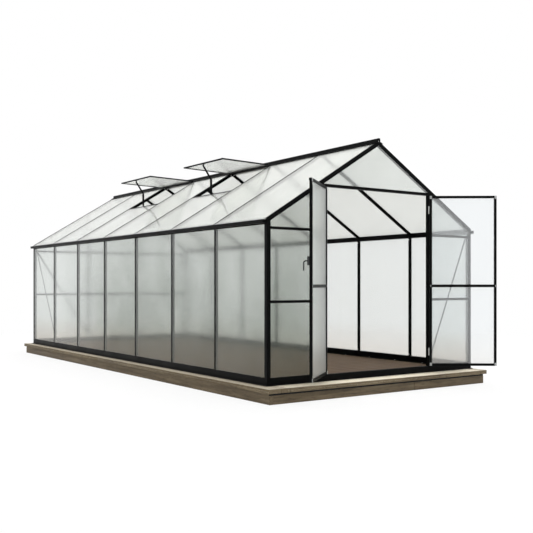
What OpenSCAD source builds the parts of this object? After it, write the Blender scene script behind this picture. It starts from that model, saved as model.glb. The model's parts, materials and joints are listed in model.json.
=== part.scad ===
// Polycarbonate greenhouse on a low timber deck, with double doors and two roof vents.
// X runs across the gable, Y along the ridge with the doors at -Y, and Z up from the ground.
// The doors, the vents and the door handle are drawn in their open rest position.

/* [House] */
// Number of glazed bays along each side
bay_count = 7; // [6:1:9]
// Distance between neighbouring side bars, centre to centre
bay_pitch = 1000; // [820:10:1200]
// Width over the outer faces of the walls
house_w = 2970; // [2450:10:3550]
// Height of the gutter rim above the deck
gutter_h = 1650; // [1370:10:1980]
// Slope of the roof, in degrees
roof_pitch = 31.4; // [26:0.2:38]

/* [Deck] */
// Height of the timber bearers and joists
bearer_h = 110; // [80:1:160]
// Thickness of the timber bearers and joists
bearer_t = 45; // [36:1:60]
// Thickness of the capping boards and of the floor
cap_t = 45; // [28:1:50]
// Setback of the bearers behind the edge of the capping
bearer_inset = 28; // [10:1:40]
// Capping in front of the door wall
front_lip = 220; // [120:5:300]
// Capping outside the left wall
left_lip = 130; // [60:5:200]
// Capping outside the right wall
right_lip = 25; // [20:1:200]
// Capping behind the rear wall
rear_lip = 85; // [40:5:200]
// Number of joists, odd so that one lies under the ridge
joist_count = 7; // [5:2:9]

/* [Frame] */
// Thickness of the twin-wall sheets
sheet_t = 6; // [4:1:10]
// Width of a glazing bar across its cover strip
bar_w = 24; // [20:1:36]
// Side of the square corner posts
post_w = 44; // [32:1:52]
// How far the bars' inner edges stay behind the corner posts' inner faces
bar_setback = 4; // [3:1:8]
// Height of the base rail
rail_h = 78; // [50:1:100]
// Depth of the gable rafters below the sheet
rafter_d = 34; // [26:1:44]
// Height of the inner face of the eaves beams
beam_h = 50; // [40:1:90]
// Width of the gutter outside the wall
gutter_w = 50; // [40:1:80]
// Depth of the gutter trough
gutter_d = 36; // [28:1:60]
// Height of the middle rail of both gables above the deck
gable_rail_h = 834; // [600:1:1000]
// Width of a diagonal brace
brace_w = 20; // [14:1:30]

/* [Doors] */
// Clear width between the door posts
opening_w = 1540; // [1250:5:1700]
// Width of a door post
door_post_w = 30; // [24:1:44]
// Height of the door threshold
threshold_h = 70; // [40:1:100]
// Height of the door head bar
head_h = 28; // [20:1:40]
// Gap round each door leaf
door_gap = 7; // [6:1:12]
// Face width of a leaf's stiles and rails
leaf_bar = 26; // [20:1:40]
// Thickness of a leaf
leaf_t = 25; // [20:1:36]
// Height of a leaf's middle rail above the deck
leaf_rail_h = 990; // [700:1:1200]
// How far the left leaf stands open, in degrees
left_open = 140; // [0:1:160]
// How far the right leaf stands open, in degrees
right_open = 144; // [0:1:160]
// Distance from a leaf's end to the middle of its hinge
hinge_inset = 160; // [100:1:260]
// Height of the lever's spindle above the deck
handle_h = 1231; // [900:1:1400]
// Length of the lever's grip
grip_len = 92; // [70:1:130]

/* [Roof vents] */
// Length of a vent sash down the slope
sash_len = 720; // [500:5:900]
// How far a sash is lifted from the roof, in degrees
sash_open = 33; // [10:1:50]
// Face width of a sash bar
sash_bar = 22; // [16:1:32]
// Thickness of a sash
sash_t = 16; // [12:1:24]

/* [Hidden] */
// Fits and metal thicknesses
metal_t = 3;
play = 0.4;
seal = 0.2;
groove_d = 10;
web_t = 6;
stem_t = 8;
channel_w = sheet_t + play;
channel_0 = metal_t;
channel_1 = channel_0 + channel_w;
edge_play = 1;
lap = 1;

// Deck and overall places
house_l = bay_count * bay_pitch;
deck_z = bearer_h + cap_t;
left_x = -house_w / 2;
front_y = -house_l / 2;
rail_z = deck_z + rail_h;
rail_foot_d = 15;
rail_foot_h = 8;
rebate_w = 14;
rebate_h = 16;
arris = 5;
lip_min = min(front_lip, left_lip, right_lip, rear_lip);
joist_seam = 10;
seam_in = max(bearer_inset + bearer_t - lip_min, post_w + rail_foot_d) + bearer_t / 2 + joist_seam;
deck_left = left_x - left_lip;
deck_right = -left_x + right_lip;
deck_front = front_y - front_lip;
deck_rear = -front_y + rear_lip;

// Roof lines: the underside of the sheets meets the wall's outer face at eaves_z
eaves_rise = 7;
eaves_z = deck_z + gutter_h + eaves_rise;
beam_z = eaves_z - beam_h;
seat_w = 20;
apex_z = eaves_z + house_w / 2 * tan(roof_pitch);
cover_n = sheet_t + play + metal_t;
sheet_drip = 15;
slope_len = house_w / 2 / cos(roof_pitch);
ridge_web = 8;
roof_flange_w = 26;
ridge_top_w = 30;
ridge_rise = 28;
ridge_wing = 52;
ridge_stem_d = 52;
ridge_bulb_w = 24;
ridge_end = 8;
rafter_w = post_w;
rafter_seat = 12;
rafter_cover = 22;
rafter_line_n = -10;

// Wall and gable bars
bar_d = post_w - bar_setback;
eaves_rail_drop = 80;
eaves_rail_z = deck_z + gutter_h - eaves_rail_drop;
mid_rail_z = deck_z + gable_rail_h;
rear_post_x = house_w / 6;
brace_t = 3;

// Door opening: the head's top meets the rafters at the inner edge of the door posts
head_seat = 1;
head_top = eaves_z - rafter_d / cos(roof_pitch) + (house_w - opening_w) / 2 * tan(roof_pitch) - head_seat;
head_z = head_top - head_h;
leaf_z = deck_z + threshold_h + door_gap;
leaf_h = head_z - door_gap - leaf_z;
leaf_w = (opening_w - 3 * door_gap) / 2;
leaf_rail_z = deck_z + leaf_rail_h - leaf_z;
pane_y = (leaf_t - sheet_t) / 2;
hinge_out = 8;
hinge_r = 6;
hinge_pin_r = 3;
hinge_half = 42;
hinge_plate_w = 26;
hinge_plate_t = 3;
hinge_play = 0.5;
pin_play = 0.2;
drip_w = 24;
drip_d = 6;
corner_plate_h = 34;
corner_plate_t = 2.5;
lock_w = 22;
lock_h = 86;
lock_d = 22;
spindle_r = 4;
spindle_in = 15;
neck_r = 6.5;
elbow_r = 20;
grip_out = 58;
spindle_play = 1;

// Roof vents
vent_bays = [3, bay_count - 2];
lift = roof_pitch - sash_open;
sash_gap = 2;
sash_lap = 32;
sash_lip = 5;
bead_r = 4;
bead_x = ridge_wing + bead_r - lap;
bead_n = cover_n + bead_r + seal;
bead_s = (house_w / 2 - bead_x + bead_n * sin(roof_pitch)) / cos(roof_pitch);
hook_t = 3;
hook_in = bead_r + play;
sash_back = hook_in + edge_play;
sill_w = 20;
sill_d = 18;
sill_lip = 6;
sill_web = 4;
sill_s = bead_s - sash_len + sash_lap;

// Vent openers: a channel link on the sill, and a flat link between it and the sash
link_w = 20;
channel_link_w = 24;
link_t = 6;
cheek_t = 3;
link_play = 0.5;
link_pin_r = 4;
pin_head_r = 6;
pin_head_t = 2;
bracket_rise = 20;
elbow_rise = 170;

round_fn = 32;

// ---- Shared shapes -------------------------------------------------------------------------

// Closes a half outline into a symmetric one
function both_sides(half) = concat(half, [for (i = [len(half) - 1:-1:0]) [-half[i][0], half[i][1]]]);

// Half of a glazing bar: across, then depth from the outer face
bar_half = [
    [bar_w / 2, 0],
    [bar_w / 2, metal_t],
    [web_t / 2, metal_t],
    [web_t / 2, channel_1],
    [bar_w / 2, channel_1],
    [bar_w / 2, channel_1 + metal_t],
    [stem_t / 2, channel_1 + metal_t],
    [stem_t / 2, bar_d - metal_t],
    [stem_t, bar_d - metal_t],
    [stem_t, bar_d]
];

// Outline of the gable up to a line that lies n above the underside of the roof sheets
module gable_outline(n) {
    side_z = eaves_z + n / cos(roof_pitch);
    top_z = side_z + house_w / 2 * tan(roof_pitch);
    polygon([[left_x, 0], [-left_x, 0], [-left_x, side_z], [0, top_z], [left_x, side_z]]);
}

// Extrudes an outline drawn in Y and Z along X
module run_x(x0, x1) {
    translate([x0, 0, 0])
        rotate([90, 0, 90])
            linear_extrude(height = x1 - x0)
                children();
}

// Extrudes an outline drawn in X and Z along Y
module run_y(y0, y1) {
    translate([0, y1, 0])
        rotate([90, 0, 0])
            linear_extrude(height = y1 - y0)
                children();
}

// Extrudes an outline drawn in X and Y upwards
module run_z(z0, z1) {
    translate([0, 0, z0])
        linear_extrude(height = z1 - z0)
            children();
}

// A box between two corners
module block(low, high) {
    translate(low)
        cube(high - low);
}

// The same shape on the left and on the right
module left_and_right() {
    children();
    mirror([1, 0, 0]) children();
}

// Places a shape on the left slope: X up the slope, Y along the house, Z away from the roof
module on_left_slope() {
    translate([left_x, 0, eaves_z])
        rotate([0, -roof_pitch, 0])
            children();
}

// Point in X and Z that lies s up the left slope and n above the underside of its sheets
function slope_point(s, n) = [left_x, eaves_z]
    + s * [cos(roof_pitch), sin(roof_pitch)]
    + n * [-sin(roof_pitch), cos(roof_pitch)];

// Point in X and Z on an open sash that lies d down from its hinge and n above it
function sash_point(d, n) = slope_point(bead_s, bead_n)
    - d * [cos(lift), sin(lift)]
    + n * [-sin(lift), cos(lift)];

function bar_y(k) = front_y + k * bay_pitch;

// Edges of the sheet in bay k, counted from 1, where end_in is the sheet's start in an end bay
function bay_y0(k, end_in) = k == 1 ? front_y + end_in : bar_y(k - 1) + web_t / 2 + edge_play;
function bay_y1(k, end_in) = k == bay_count ? -front_y - end_in : bar_y(k) - web_t / 2 - edge_play;

// ---- Deck ----------------------------------------------------------------------------------

// Long bearer section, across from its outer face, with a small chamfer under the capping
module long_bearer_section() {
    polygon([[0, 0], [bearer_t, 0], [bearer_t, bearer_h], [arris, bearer_h], [0, bearer_h - arris]]);
}

// Cross bearer section, across from its outer face, rebated under the capping
module cross_bearer_section() {
    polygon([[0, 0], [bearer_t, 0], [bearer_t, bearer_h], [rebate_w, bearer_h],
        [rebate_w, bearer_h - rebate_h], [0, bearer_h - rebate_h]]);
}

// The rebate where it runs on over the ends of the long bearers
module end_rebates() {
    y_in = deck_front + bearer_inset + rebate_w;
    for (ys = [[deck_front, y_in], [deck_rear - bearer_inset - rebate_w, deck_rear]])
        block([deck_left, ys[0], bearer_h - rebate_h], [deck_right, ys[1], bearer_h + lap]);
}

module deck_bearers_long() {
    color("#6d5f49")
        difference() {
            run_y(deck_front + bearer_inset, deck_rear - bearer_inset) {
                translate([deck_left + bearer_inset, 0])
                    long_bearer_section();
                translate([deck_right - bearer_inset, 0])
                    mirror([1, 0])
                        long_bearer_section();
            }
            end_rebates();
        }
}

module deck_bearers_cross() {
    color("#6d5f49")
        run_x(deck_left + bearer_inset + bearer_t, deck_right - bearer_inset - bearer_t) {
            translate([deck_front + bearer_inset, 0])
                cross_bearer_section();
            translate([deck_rear - bearer_inset, 0])
                mirror([1, 0])
                    cross_bearer_section();
        }
}

module deck_joists() {
    span = house_w - 2 * seam_in;
    color("#6d5f49")
        for (i = [0:joist_count - 1])
            translate([-span / 2 + i * span / (joist_count - 1), 0, 0])
                block([-bearer_t / 2, deck_front + bearer_inset + bearer_t, 0],
                    [bearer_t / 2, deck_rear - bearer_inset - bearer_t, bearer_h]);
}

module deck_capping_long() {
    color("#8a7a60") {
        block([deck_left, deck_front, bearer_h], [left_x + seam_in, deck_rear, deck_z]);
        block([-left_x - seam_in, deck_front, bearer_h], [deck_right, deck_rear, deck_z]);
    }
}

module deck_capping_cross() {
    color("#8a7a60") {
        block([left_x + seam_in, deck_front, bearer_h], [-left_x - seam_in, front_y + seam_in, deck_z]);
        block([left_x + seam_in, -front_y - seam_in, bearer_h], [-left_x - seam_in, deck_rear, deck_z]);
    }
}

module deck_floor() {
    color("#8b6f55")
        block([left_x + seam_in, front_y + seam_in, bearer_h],
            [-left_x - seam_in, -front_y - seam_in, deck_z]);
}

// ---- Base rails and posts ------------------------------------------------------------------

// Base rail section, drawn inwards from the wall's outer face and up from the deck
module rail_section() {
    polygon([
        [0, 0],
        [post_w + rail_foot_d, 0],
        [post_w + rail_foot_d, rail_foot_h],
        [post_w, rail_foot_h],
        [post_w, rail_h],
        [channel_1, rail_h],
        [channel_1, rail_h - groove_d],
        [channel_0, rail_h - groove_d],
        [channel_0, rail_h],
        [0, rail_h]
    ]);
}

// Room of the left or front rail in plan, mitred into the rails at its ends
module mitre_plan(w, l) {
    depth = post_w + rail_foot_d;
    polygon([
        [-w / 2, -l / 2],
        [w / 2, -l / 2],
        [w / 2 - depth, depth - l / 2],
        [depth - w / 2, depth - l / 2]
    ]);
}

module base_rails_long() {
    color("#15181a")
        left_and_right()
            intersection() {
                run_y(front_y, -front_y)
                    translate([left_x, deck_z])
                        rail_section();
                run_z(deck_z, rail_z)
                    rotate(-90)
                        mitre_plan(house_l, house_w);
            }
}

module base_rail_cross(x0, x1) {
    intersection() {
        run_x(x0, x1)
            translate([front_y, deck_z])
                rail_section();
        run_z(deck_z, rail_z)
            mitre_plan(house_w, house_l);
    }
}

module base_rails_cross() {
    color("#15181a") {
        left_and_right()
            base_rail_cross(left_x, -opening_w / 2);
        mirror([0, 1, 0])
            base_rail_cross(left_x, -left_x);
    }
}

module door_threshold() {
    nose = 4;
    ramp = 20;
    color("#15181a")
        run_x(-opening_w / 2, opening_w / 2)
            translate([front_y, deck_z])
                polygon([[0, 0], [post_w + rail_foot_d, 0], [post_w + rail_foot_d, threshold_h - ramp],
                    [post_w, threshold_h], [nose, threshold_h], [0, threshold_h - nose]]);
}

// Section of the front left corner post, with a channel for each wall
module corner_post_section() {
    chamfer = 2;
    polygon([
        [chamfer, 0],
        [post_w, 0],
        [post_w, channel_0],
        [post_w - groove_d, channel_0],
        [post_w - groove_d, channel_1],
        [post_w, channel_1],
        [post_w, post_w],
        [channel_1, post_w],
        [channel_1, post_w - groove_d],
        [channel_0, post_w - groove_d],
        [channel_0, post_w],
        [0, post_w],
        [0, chamfer]
    ]);
}

module corner_post() {
    intersection() {
        run_z(rail_z, eaves_z)
            translate([left_x, front_y])
                corner_post_section();
        run_y(front_y - lap, front_y + post_w + lap)
            gable_outline(-rafter_d - seal);
    }
}

module corner_posts() {
    color("#15181a")
        left_and_right() {
            corner_post();
            mirror([0, 1, 0]) corner_post();
        }
}

module wall_bars() {
    color("#15181a")
        left_and_right()
            for (k = [1:bay_count - 1])
                run_z(rail_z, beam_z)
                    translate([left_x, bar_y(k)])
                        rotate(-90)
                            polygon(both_sides(bar_half));
}

// ---- Gutters and ridge ---------------------------------------------------------------------

// Eaves beam: a channel that opens inwards, with a groove below for the wall sheets and a
// sloped seat above for the roof sheets
module eaves_beam_section() {
    seat_z = eaves_z + seat_w * tan(roof_pitch);
    seat_h = metal_t / cos(roof_pitch);
    web_x = channel_1 + metal_t;
    translate([left_x, 0])
        polygon([
            [0, beam_z],
            [channel_0, beam_z],
            [channel_0, beam_z + groove_d],
            [channel_1, beam_z + groove_d],
            [channel_1, beam_z],
            [bar_d, beam_z],
            [bar_d, beam_z + metal_t],
            [web_x, beam_z + metal_t],
            [web_x, eaves_z + web_x * tan(roof_pitch) - seat_h],
            [seat_w, seat_z - seat_h],
            [seat_w, seat_z],
            [0, eaves_z]
        ]);
}

// Trough outside the wall, with a rolled rim
module trough_section() {
    rim_z = deck_z + gutter_h;
    rim_w = 9;
    low_z = rim_z - gutter_d;
    polygon([
        [left_x, low_z],
        [left_x - gutter_w + metal_t, low_z],
        [left_x - gutter_w, low_z + metal_t],
        [left_x - gutter_w, rim_z],
        [left_x - gutter_w + rim_w, rim_z],
        [left_x - gutter_w + rim_w, rim_z - metal_t],
        [left_x - gutter_w + metal_t, rim_z - metal_t],
        [left_x - gutter_w + metal_t, low_z + metal_t],
        [left_x - metal_t, low_z + metal_t],
        [left_x - metal_t, eaves_z - metal_t * tan(roof_pitch)],
        [left_x, eaves_z]
    ]);
}

module eaves_beams() {
    color("#15181a")
        left_and_right()
            run_y(front_y + post_w, -front_y - post_w)
                eaves_beam_section();
}

module gutters() {
    rim_z = deck_z + gutter_h;
    color("#15181a")
        left_and_right() {
            run_y(front_y, -front_y)
                trough_section();
            for (y = [front_y, -front_y - metal_t])
                block([left_x - gutter_w + metal_t, y, rim_z - gutter_d + lap],
                    [left_x - lap, y + metal_t, rim_z - metal_t]);
        }
}

// Height of a line that lies n above the roof sheets' underside, x from the ridge
function slope_z(x, n) = apex_z + n / cos(roof_pitch) - x * tan(roof_pitch);

// Section of the ridge's cap, with a bead along each wing that a vent's hook turns on
module ridge_cap_section() {
    crown_z = apex_z + cover_n / cos(roof_pitch) + ridge_rise;
    crown_edge = 4;
    polygon(both_sides([
        [0, slope_z(0, cover_n)],
        [ridge_wing, slope_z(ridge_wing, cover_n)],
        [ridge_wing, slope_z(ridge_wing, cover_n + metal_t)],
        [ridge_top_w / 2 + crown_edge, slope_z(ridge_top_w / 2 + crown_edge, cover_n + metal_t)],
        [ridge_top_w / 2, crown_z - crown_edge],
        [ridge_top_w / 2 - crown_edge, crown_z]
    ]));
    for (x = [-bead_x, bead_x])
        translate([x, slope_z(bead_x, bead_n)])
            circle(r = bead_r, $fn = round_fn);
}

// Section of the ridge's stem, which ends inside the cap
module ridge_stem_section() {
    low_z = apex_z - ridge_stem_d;
    polygon(both_sides([
        [ridge_bulb_w / 2, low_z],
        [ridge_bulb_w / 2, low_z + metal_t],
        [ridge_web / 2, low_z + metal_t],
        [ridge_web / 2, slope_z(0, cover_n + metal_t)]
    ]));
}

module ridge_bar() {
    color("#15181a") {
        run_y(front_y + rafter_w + seal, -front_y - rafter_w - seal)
            ridge_stem_section();
        run_y(front_y - ridge_end, -front_y + ridge_end)
            ridge_cap_section();
    }
}

// ---- Roof ----------------------------------------------------------------------------------

// Roof bar section: across, then height above the underside of the sheets
module roof_bar_section() {
    cap_w = 12;
    bulb_w = 14;
    bulb_h = 7;
    polygon(both_sides([
        [bulb_w / 2, -rafter_d],
        [bulb_w / 2, -rafter_d + bulb_h],
        [stem_t / 2, -rafter_d + bulb_h],
        [stem_t / 2, -metal_t],
        [roof_flange_w / 2, -metal_t],
        [roof_flange_w / 2, 0],
        [web_t / 2, 0],
        [web_t / 2, sheet_t + play],
        [cap_w / 2, sheet_t + play],
        [cap_w / 2, cover_n]
    ]));
}

// Room that the eaves beam and the ridge stem take out of a roof bar
module roof_bar_ends(y) {
    block([left_x - gutter_w, y - bar_w, beam_z - bar_d],
        [left_x + seat_w, y + bar_w, eaves_z]);
    intersection() {
        block([left_x - gutter_w, y - bar_w, beam_z],
            [left_x + seat_w, y + bar_w, eaves_z + bar_d]);
        on_left_slope()
            block([-bar_d, y - bar_w, -bar_d], [2 * bar_d, y + bar_w, 0]);
    }
    block([-ridge_web / 2, y - bar_w, apex_z - 2 * bar_d], [bar_d, y + bar_w, apex_z + bar_d]);
}

module roof_bars() {
    color("#15181a")
        left_and_right()
            for (k = [1:bay_count - 1])
                difference() {
                    on_left_slope()
                        run_x(-sheet_drip, slope_len)
                            translate([bar_y(k), 0])
                                roof_bar_section();
                    roof_bar_ends(bar_y(k));
                    block([-ridge_bulb_w / 2, bar_y(k) - bar_w, apex_z - 2 * bar_d],
                        [0, bar_y(k) + bar_w, apex_z - ridge_stem_d + metal_t]);
                }
}

// Gable rafter section: inwards from the gable's outer face, then height above the sheets' underside
module rafter_section() {
    line_d = 2;
    line_h = 5;
    polygon([
        [0, -rafter_d],
        [channel_0, -rafter_d],
        [channel_0, -rafter_d + groove_d],
        [channel_1, -rafter_d + groove_d],
        [channel_1, -rafter_d],
        [rafter_w, -rafter_d],
        [rafter_w, 0],
        [rafter_seat, 0],
        [rafter_seat, sheet_t + play],
        [rafter_cover, sheet_t + play],
        [rafter_cover, cover_n],
        [0, cover_n],
        [0, rafter_line_n + line_h],
        [line_d, rafter_line_n + line_h],
        [line_d, rafter_line_n],
        [0, rafter_line_n]
    ]);
}

module front_rafters() {
    left_and_right()
        intersection() {
            on_left_slope()
                run_x(-bar_d, slope_len + bar_d)
                    translate([front_y, 0])
                        rafter_section();
            block([left_x, front_y - lap, beam_z - bar_d],
                [-play / 2, front_y + rafter_w + lap, apex_z + bar_d]);
        }
}

module gable_rafters() {
    color("#15181a") {
        front_rafters();
        mirror([0, 1, 0]) front_rafters();
    }
}

// One roof sheet on the left slope between two heights along the slope
module roof_sheet(k, s0, s1) {
    on_left_slope()
        block([s0, bay_y0(k, rafter_seat + edge_play), seal],
            [s1, bay_y1(k, rafter_seat + edge_play), seal + sheet_t]);
}

sheet_top_s = (house_w / 2 - ridge_web / 2 - edge_play) / cos(roof_pitch);
sheet_low_s = -sheet_drip / cos(roof_pitch);

function is_vent(k) = len([for (v = vent_bays) if (v == k) v]) > 0;

module roof_sheets() {
    color("#dfe4e4")
        for (k = [1:bay_count]) {
            roof_sheet(k, sheet_low_s, is_vent(k) ? sill_s - edge_play : sheet_top_s);
            mirror([1, 0, 0]) roof_sheet(k, sheet_low_s, sheet_top_s);
        }
}

// ---- Gables --------------------------------------------------------------------------------

// A level glazing bar in the front wall between two places across the house
module front_bar(x0, x1, z) {
    run_x(x0, x1)
        translate([front_y, z])
            rotate(90)
                mirror([0, 1])
                    polygon(both_sides(bar_half));
}

// The door post on the left, with a channel for the sheets beside the door
module door_post() {
    x1 = -opening_w / 2;
    x0 = x1 - door_post_w;
    intersection() {
        run_z(rail_z, apex_z)
            translate([x0, front_y])
                polygon([[0, 0], [door_post_w, 0], [door_post_w, post_w], [0, post_w],
                    [0, channel_1], [groove_d, channel_1], [groove_d, channel_0], [0, channel_0]]);
        run_y(front_y - lap, front_y + post_w + lap)
            gable_outline(-rafter_d - seal);
    }
}

module door_posts() {
    color("#15181a")
        left_and_right()
            door_post();
}

module door_head() {
    color("#15181a")
        run_x(-opening_w / 2, opening_w / 2)
            translate([front_y, head_z])
                polygon([[0, 0], [post_w, 0], [post_w, head_h], [channel_1, head_h],
                    [channel_1, head_h - groove_d], [channel_0, head_h - groove_d],
                    [channel_0, head_h], [0, head_h]]);
}

module front_gable_rails() {
    x0 = left_x + post_w;
    x1 = -opening_w / 2 - door_post_w;
    color("#15181a")
        left_and_right()
            for (z = [mid_rail_z, eaves_rail_z])
                front_bar(x0, x1, z);
}

module rear_gable_posts() {
    color("#15181a")
        left_and_right()
            intersection() {
                run_z(rail_z, apex_z)
                    translate([-rear_post_x, -front_y])
                        rotate(180)
                            polygon(both_sides(bar_half));
                run_y(-front_y - post_w, -front_y + lap)
                    gable_outline(-rafter_d - seal);
            }
}

module rear_gable_rails() {
    spans = [
        [left_x + post_w, -rear_post_x - bar_w / 2],
        [-rear_post_x + bar_w / 2, rear_post_x - bar_w / 2],
        [rear_post_x + bar_w / 2, -left_x - post_w]
    ];
    color("#15181a")
        mirror([0, 1, 0])
            for (span = spans)
                for (z = [mid_rail_z, eaves_rail_z])
                    front_bar(span[0], span[1], z);
}

// A gable sheet in the front wall, cut to the rafters above it
module gable_sheet(x0, x1, z0, z1) {
    y0 = front_y + channel_0 + seal;
    intersection() {
        block([x0, y0, z0], [x1, y0 + sheet_t, z1]);
        run_y(y0 - lap, y0 + sheet_t + lap)
            gable_outline(-rafter_d + groove_d - edge_play);
    }
}

// The three heights of gable sheets between two upright members
module gable_sheet_column(x0, x1) {
    gap = web_t / 2 + edge_play;
    gable_sheet(x0, x1, rail_z - groove_d, mid_rail_z - gap);
    gable_sheet(x0, x1, mid_rail_z + gap, eaves_rail_z - gap);
    gable_sheet(x0, x1, eaves_rail_z + gap, apex_z);
}

module front_gable_sheets() {
    color("#dfe4e4") {
        left_and_right()
            gable_sheet_column(left_x + post_w - groove_d + edge_play,
                -opening_w / 2 - door_post_w + groove_d - edge_play);
        gable_sheet(-opening_w / 2, opening_w / 2, head_top - groove_d, apex_z);
    }
}

module rear_gable_sheets() {
    gap = web_t / 2 + edge_play;
    corner_in = left_x + post_w - groove_d + edge_play;
    color("#dfe4e4")
        mirror([0, 1, 0]) {
            gable_sheet_column(corner_in, -rear_post_x - gap);
            gable_sheet_column(-rear_post_x + gap, rear_post_x - gap);
            gable_sheet_column(rear_post_x + gap, -corner_in);
        }
}

// ---- Wall sheets and braces ----------------------------------------------------------------

module wall_sheets() {
    x0 = left_x + channel_0 + seal;
    end_in = post_w - groove_d + edge_play;
    color("#dfe4e4")
        left_and_right()
            for (k = [1:bay_count])
                block([x0, bay_y0(k, end_in), rail_z - groove_d],
                    [x0 + sheet_t, bay_y1(k, end_in), beam_z + groove_d - edge_play]);
}

// Outline of a flat bar from one corner of a field to the other, cut to the field
module brace_outline(a0, z0, a1, z1) {
    span = norm([a1 - a0, z1 - z0]);
    intersection() {
        translate([min(a0, a1), min(z0, z1)])
            square([abs(a1 - a0), abs(z1 - z0)]);
        translate([a0, z0])
            rotate(atan2(z1 - z0, a1 - a0))
                translate([-brace_w, -brace_w / 2])
                    square([span + 2 * brace_w, brace_w]);
    }
}

// The brace in the rear bay of the left wall, from the foot of the last bar to the corner's top
module wall_brace() {
    run_x(left_x + bar_d, left_x + bar_d + brace_t)
        brace_outline(bar_y(bay_count - 1) - stem_t, rail_z, -front_y - post_w, beam_z);
}

// A brace inside a gable bay of the front wall, from the foot at x0 to the top at x1
module gable_brace(x0, x1) {
    run_y(front_y + bar_d, front_y + bar_d + brace_t)
        brace_outline(x0, rail_z, x1, eaves_rail_z + stem_t);
}

module braces() {
    post_in = left_x + post_w;
    color("#15181a") {
        left_and_right()
            wall_brace();
        mirror([1, 0, 0])
            gable_brace(-opening_w / 2 - door_post_w, post_in);
        mirror([0, 1, 0])
            left_and_right()
                gable_brace(-rear_post_x + stem_t, post_in);
    }
}

// ---- Roof vents ----------------------------------------------------------------------------

// Section of the bar under a vent's free edge: along the slope from its groove's end, then up
module sill_section() {
    low_s = sill_web - sill_w;
    polygon([
        [low_s, -sill_d],
        [sill_web, -sill_d],
        [sill_web, cover_n],
        [-sill_lip, cover_n],
        [-sill_lip, sheet_t + play],
        [0, sheet_t + play],
        [0, 0],
        [low_s, 0]
    ]);
}

module vent_sills() {
    color("#15181a")
        for (k = vent_bays)
            on_left_slope()
                run_y(bar_y(k - 1) + roof_flange_w / 2, bar_y(k) - roof_flange_w / 2)
                    translate([sill_s, 0])
                        sill_section();
}

// Places a shape drawn from a vent's hinge line: X up the sash and Z away from the roof
module lifted() {
    on_left_slope()
        translate([bead_s, 0, bead_n])
            rotate([0, sash_open, 0])
                children();
}

sash_n0 = cover_n + metal_t - bead_n;
sash_s0 = -sash_len;
sash_s1 = -sash_back;
sash_slot_n = (sash_t - channel_w) / 2;

// Sash bar section: inwards from its outer edge, then up from its underside
module sash_section() {
    corner = 2;
    polygon([
        [0, 0],
        [sash_bar, 0],
        [sash_bar, sash_slot_n],
        [sash_bar - groove_d, sash_slot_n],
        [sash_bar - groove_d, sash_slot_n + channel_w],
        [sash_bar, sash_slot_n + channel_w],
        [sash_bar, sash_t],
        [corner, sash_t],
        [0, sash_t - corner]
    ]);
}

module vent_sash_sides() {
    color("#15181a")
        for (k = vent_bays)
            lifted()
                run_x(sash_s0, sash_s1) {
                    translate([bar_y(k - 1) + sash_gap, sash_n0]) sash_section();
                    translate([bar_y(k) - sash_gap, sash_n0]) mirror([1, 0]) sash_section();
                }
}

// Hook at the top of a sash that turns on the ridge's bead, open towards the ridge
module hook_section() {
    open_low = -85;
    open_high = 50;
    reach = 2 * (hook_in + hook_t);
    difference() {
        circle(r = hook_in + hook_t, $fn = round_fn);
        circle(r = hook_in, $fn = round_fn);
        polygon([[0, 0], reach * [cos(open_low), sin(open_low)], [reach, 0],
            reach * [cos(open_high), sin(open_high)]]);
    }
}

module vent_sash_ends() {
    color("#15181a")
        for (k = vent_bays)
            lifted()
                run_y(bar_y(k - 1) + sash_gap + sash_bar, bar_y(k) - sash_gap - sash_bar) {
                    translate([sash_s0, sash_n0]) {
                        sash_section();
                        translate([0, -sash_lip]) square([metal_t, 2 * sash_lip]);
                    }
                    translate([sash_s1, sash_n0]) mirror([1, 0]) sash_section();
                    hook_section();
                }
}

module vent_sheets() {
    edge = sash_bar - groove_d + edge_play;
    n0 = sash_n0 + sash_slot_n + seal;
    color("#dfe4e4")
        for (k = vent_bays)
            lifted()
                block([sash_s0 + edge, bar_y(k - 1) + sash_gap + edge, n0],
                    [sash_s1 - edge, bar_y(k) - sash_gap - edge, n0 + sheet_t]);
}

// A flat link with round ends between two pins, drawn in X and Z
module link_outline(a, b, w) {
    translate(a)
        rotate(atan2(b[1] - a[1], b[0] - a[0])) {
            translate([0, -w / 2])
                square([norm(b - a), w]);
            circle(d = w, $fn = round_fn);
            translate([norm(b - a), 0])
                circle(d = w, $fn = round_fn);
        }
}

module pin_hole(at) {
    translate(at)
        circle(r = link_pin_r + pin_play, $fn = round_fn);
}

// A pin with a head outside each cheek
module link_pin(at, y_mid) {
    reach = cheek_y + cheek_t + pin_head_t;
    translate([at[0], y_mid, at[1]])
        rotate([90, 0, 0]) {
            cylinder(r = link_pin_r, h = 2 * (cheek_y + cheek_t), center = true, $fn = round_fn);
            for (side = [-1, 1])
                translate([0, 0, side * (reach - pin_head_t / 2)])
                    cylinder(r = pin_head_r, h = pin_head_t, center = true, $fn = round_fn);
        }
}

cheek_y = link_t / 2 + link_play;
opener_d = sash_len - sash_back - sash_bar / 2;
opener_base = slope_point(sill_s + (sill_web - sill_lip) / 2, cover_n);
opener_foot = opener_base + [0, bracket_rise];
opener_elbow = opener_foot + [0, elbow_rise];
opener_seat = sash_point(opener_d, sash_n0);
opener_top = sash_point(opener_d, sash_n0 - bracket_rise);

// The same outline on both sides of the flat link
module two_cheeks(y_mid) {
    for (y = [y_mid - cheek_y - cheek_t, y_mid + cheek_y])
        run_y(y, y + cheek_t)
            children();
}

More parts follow.
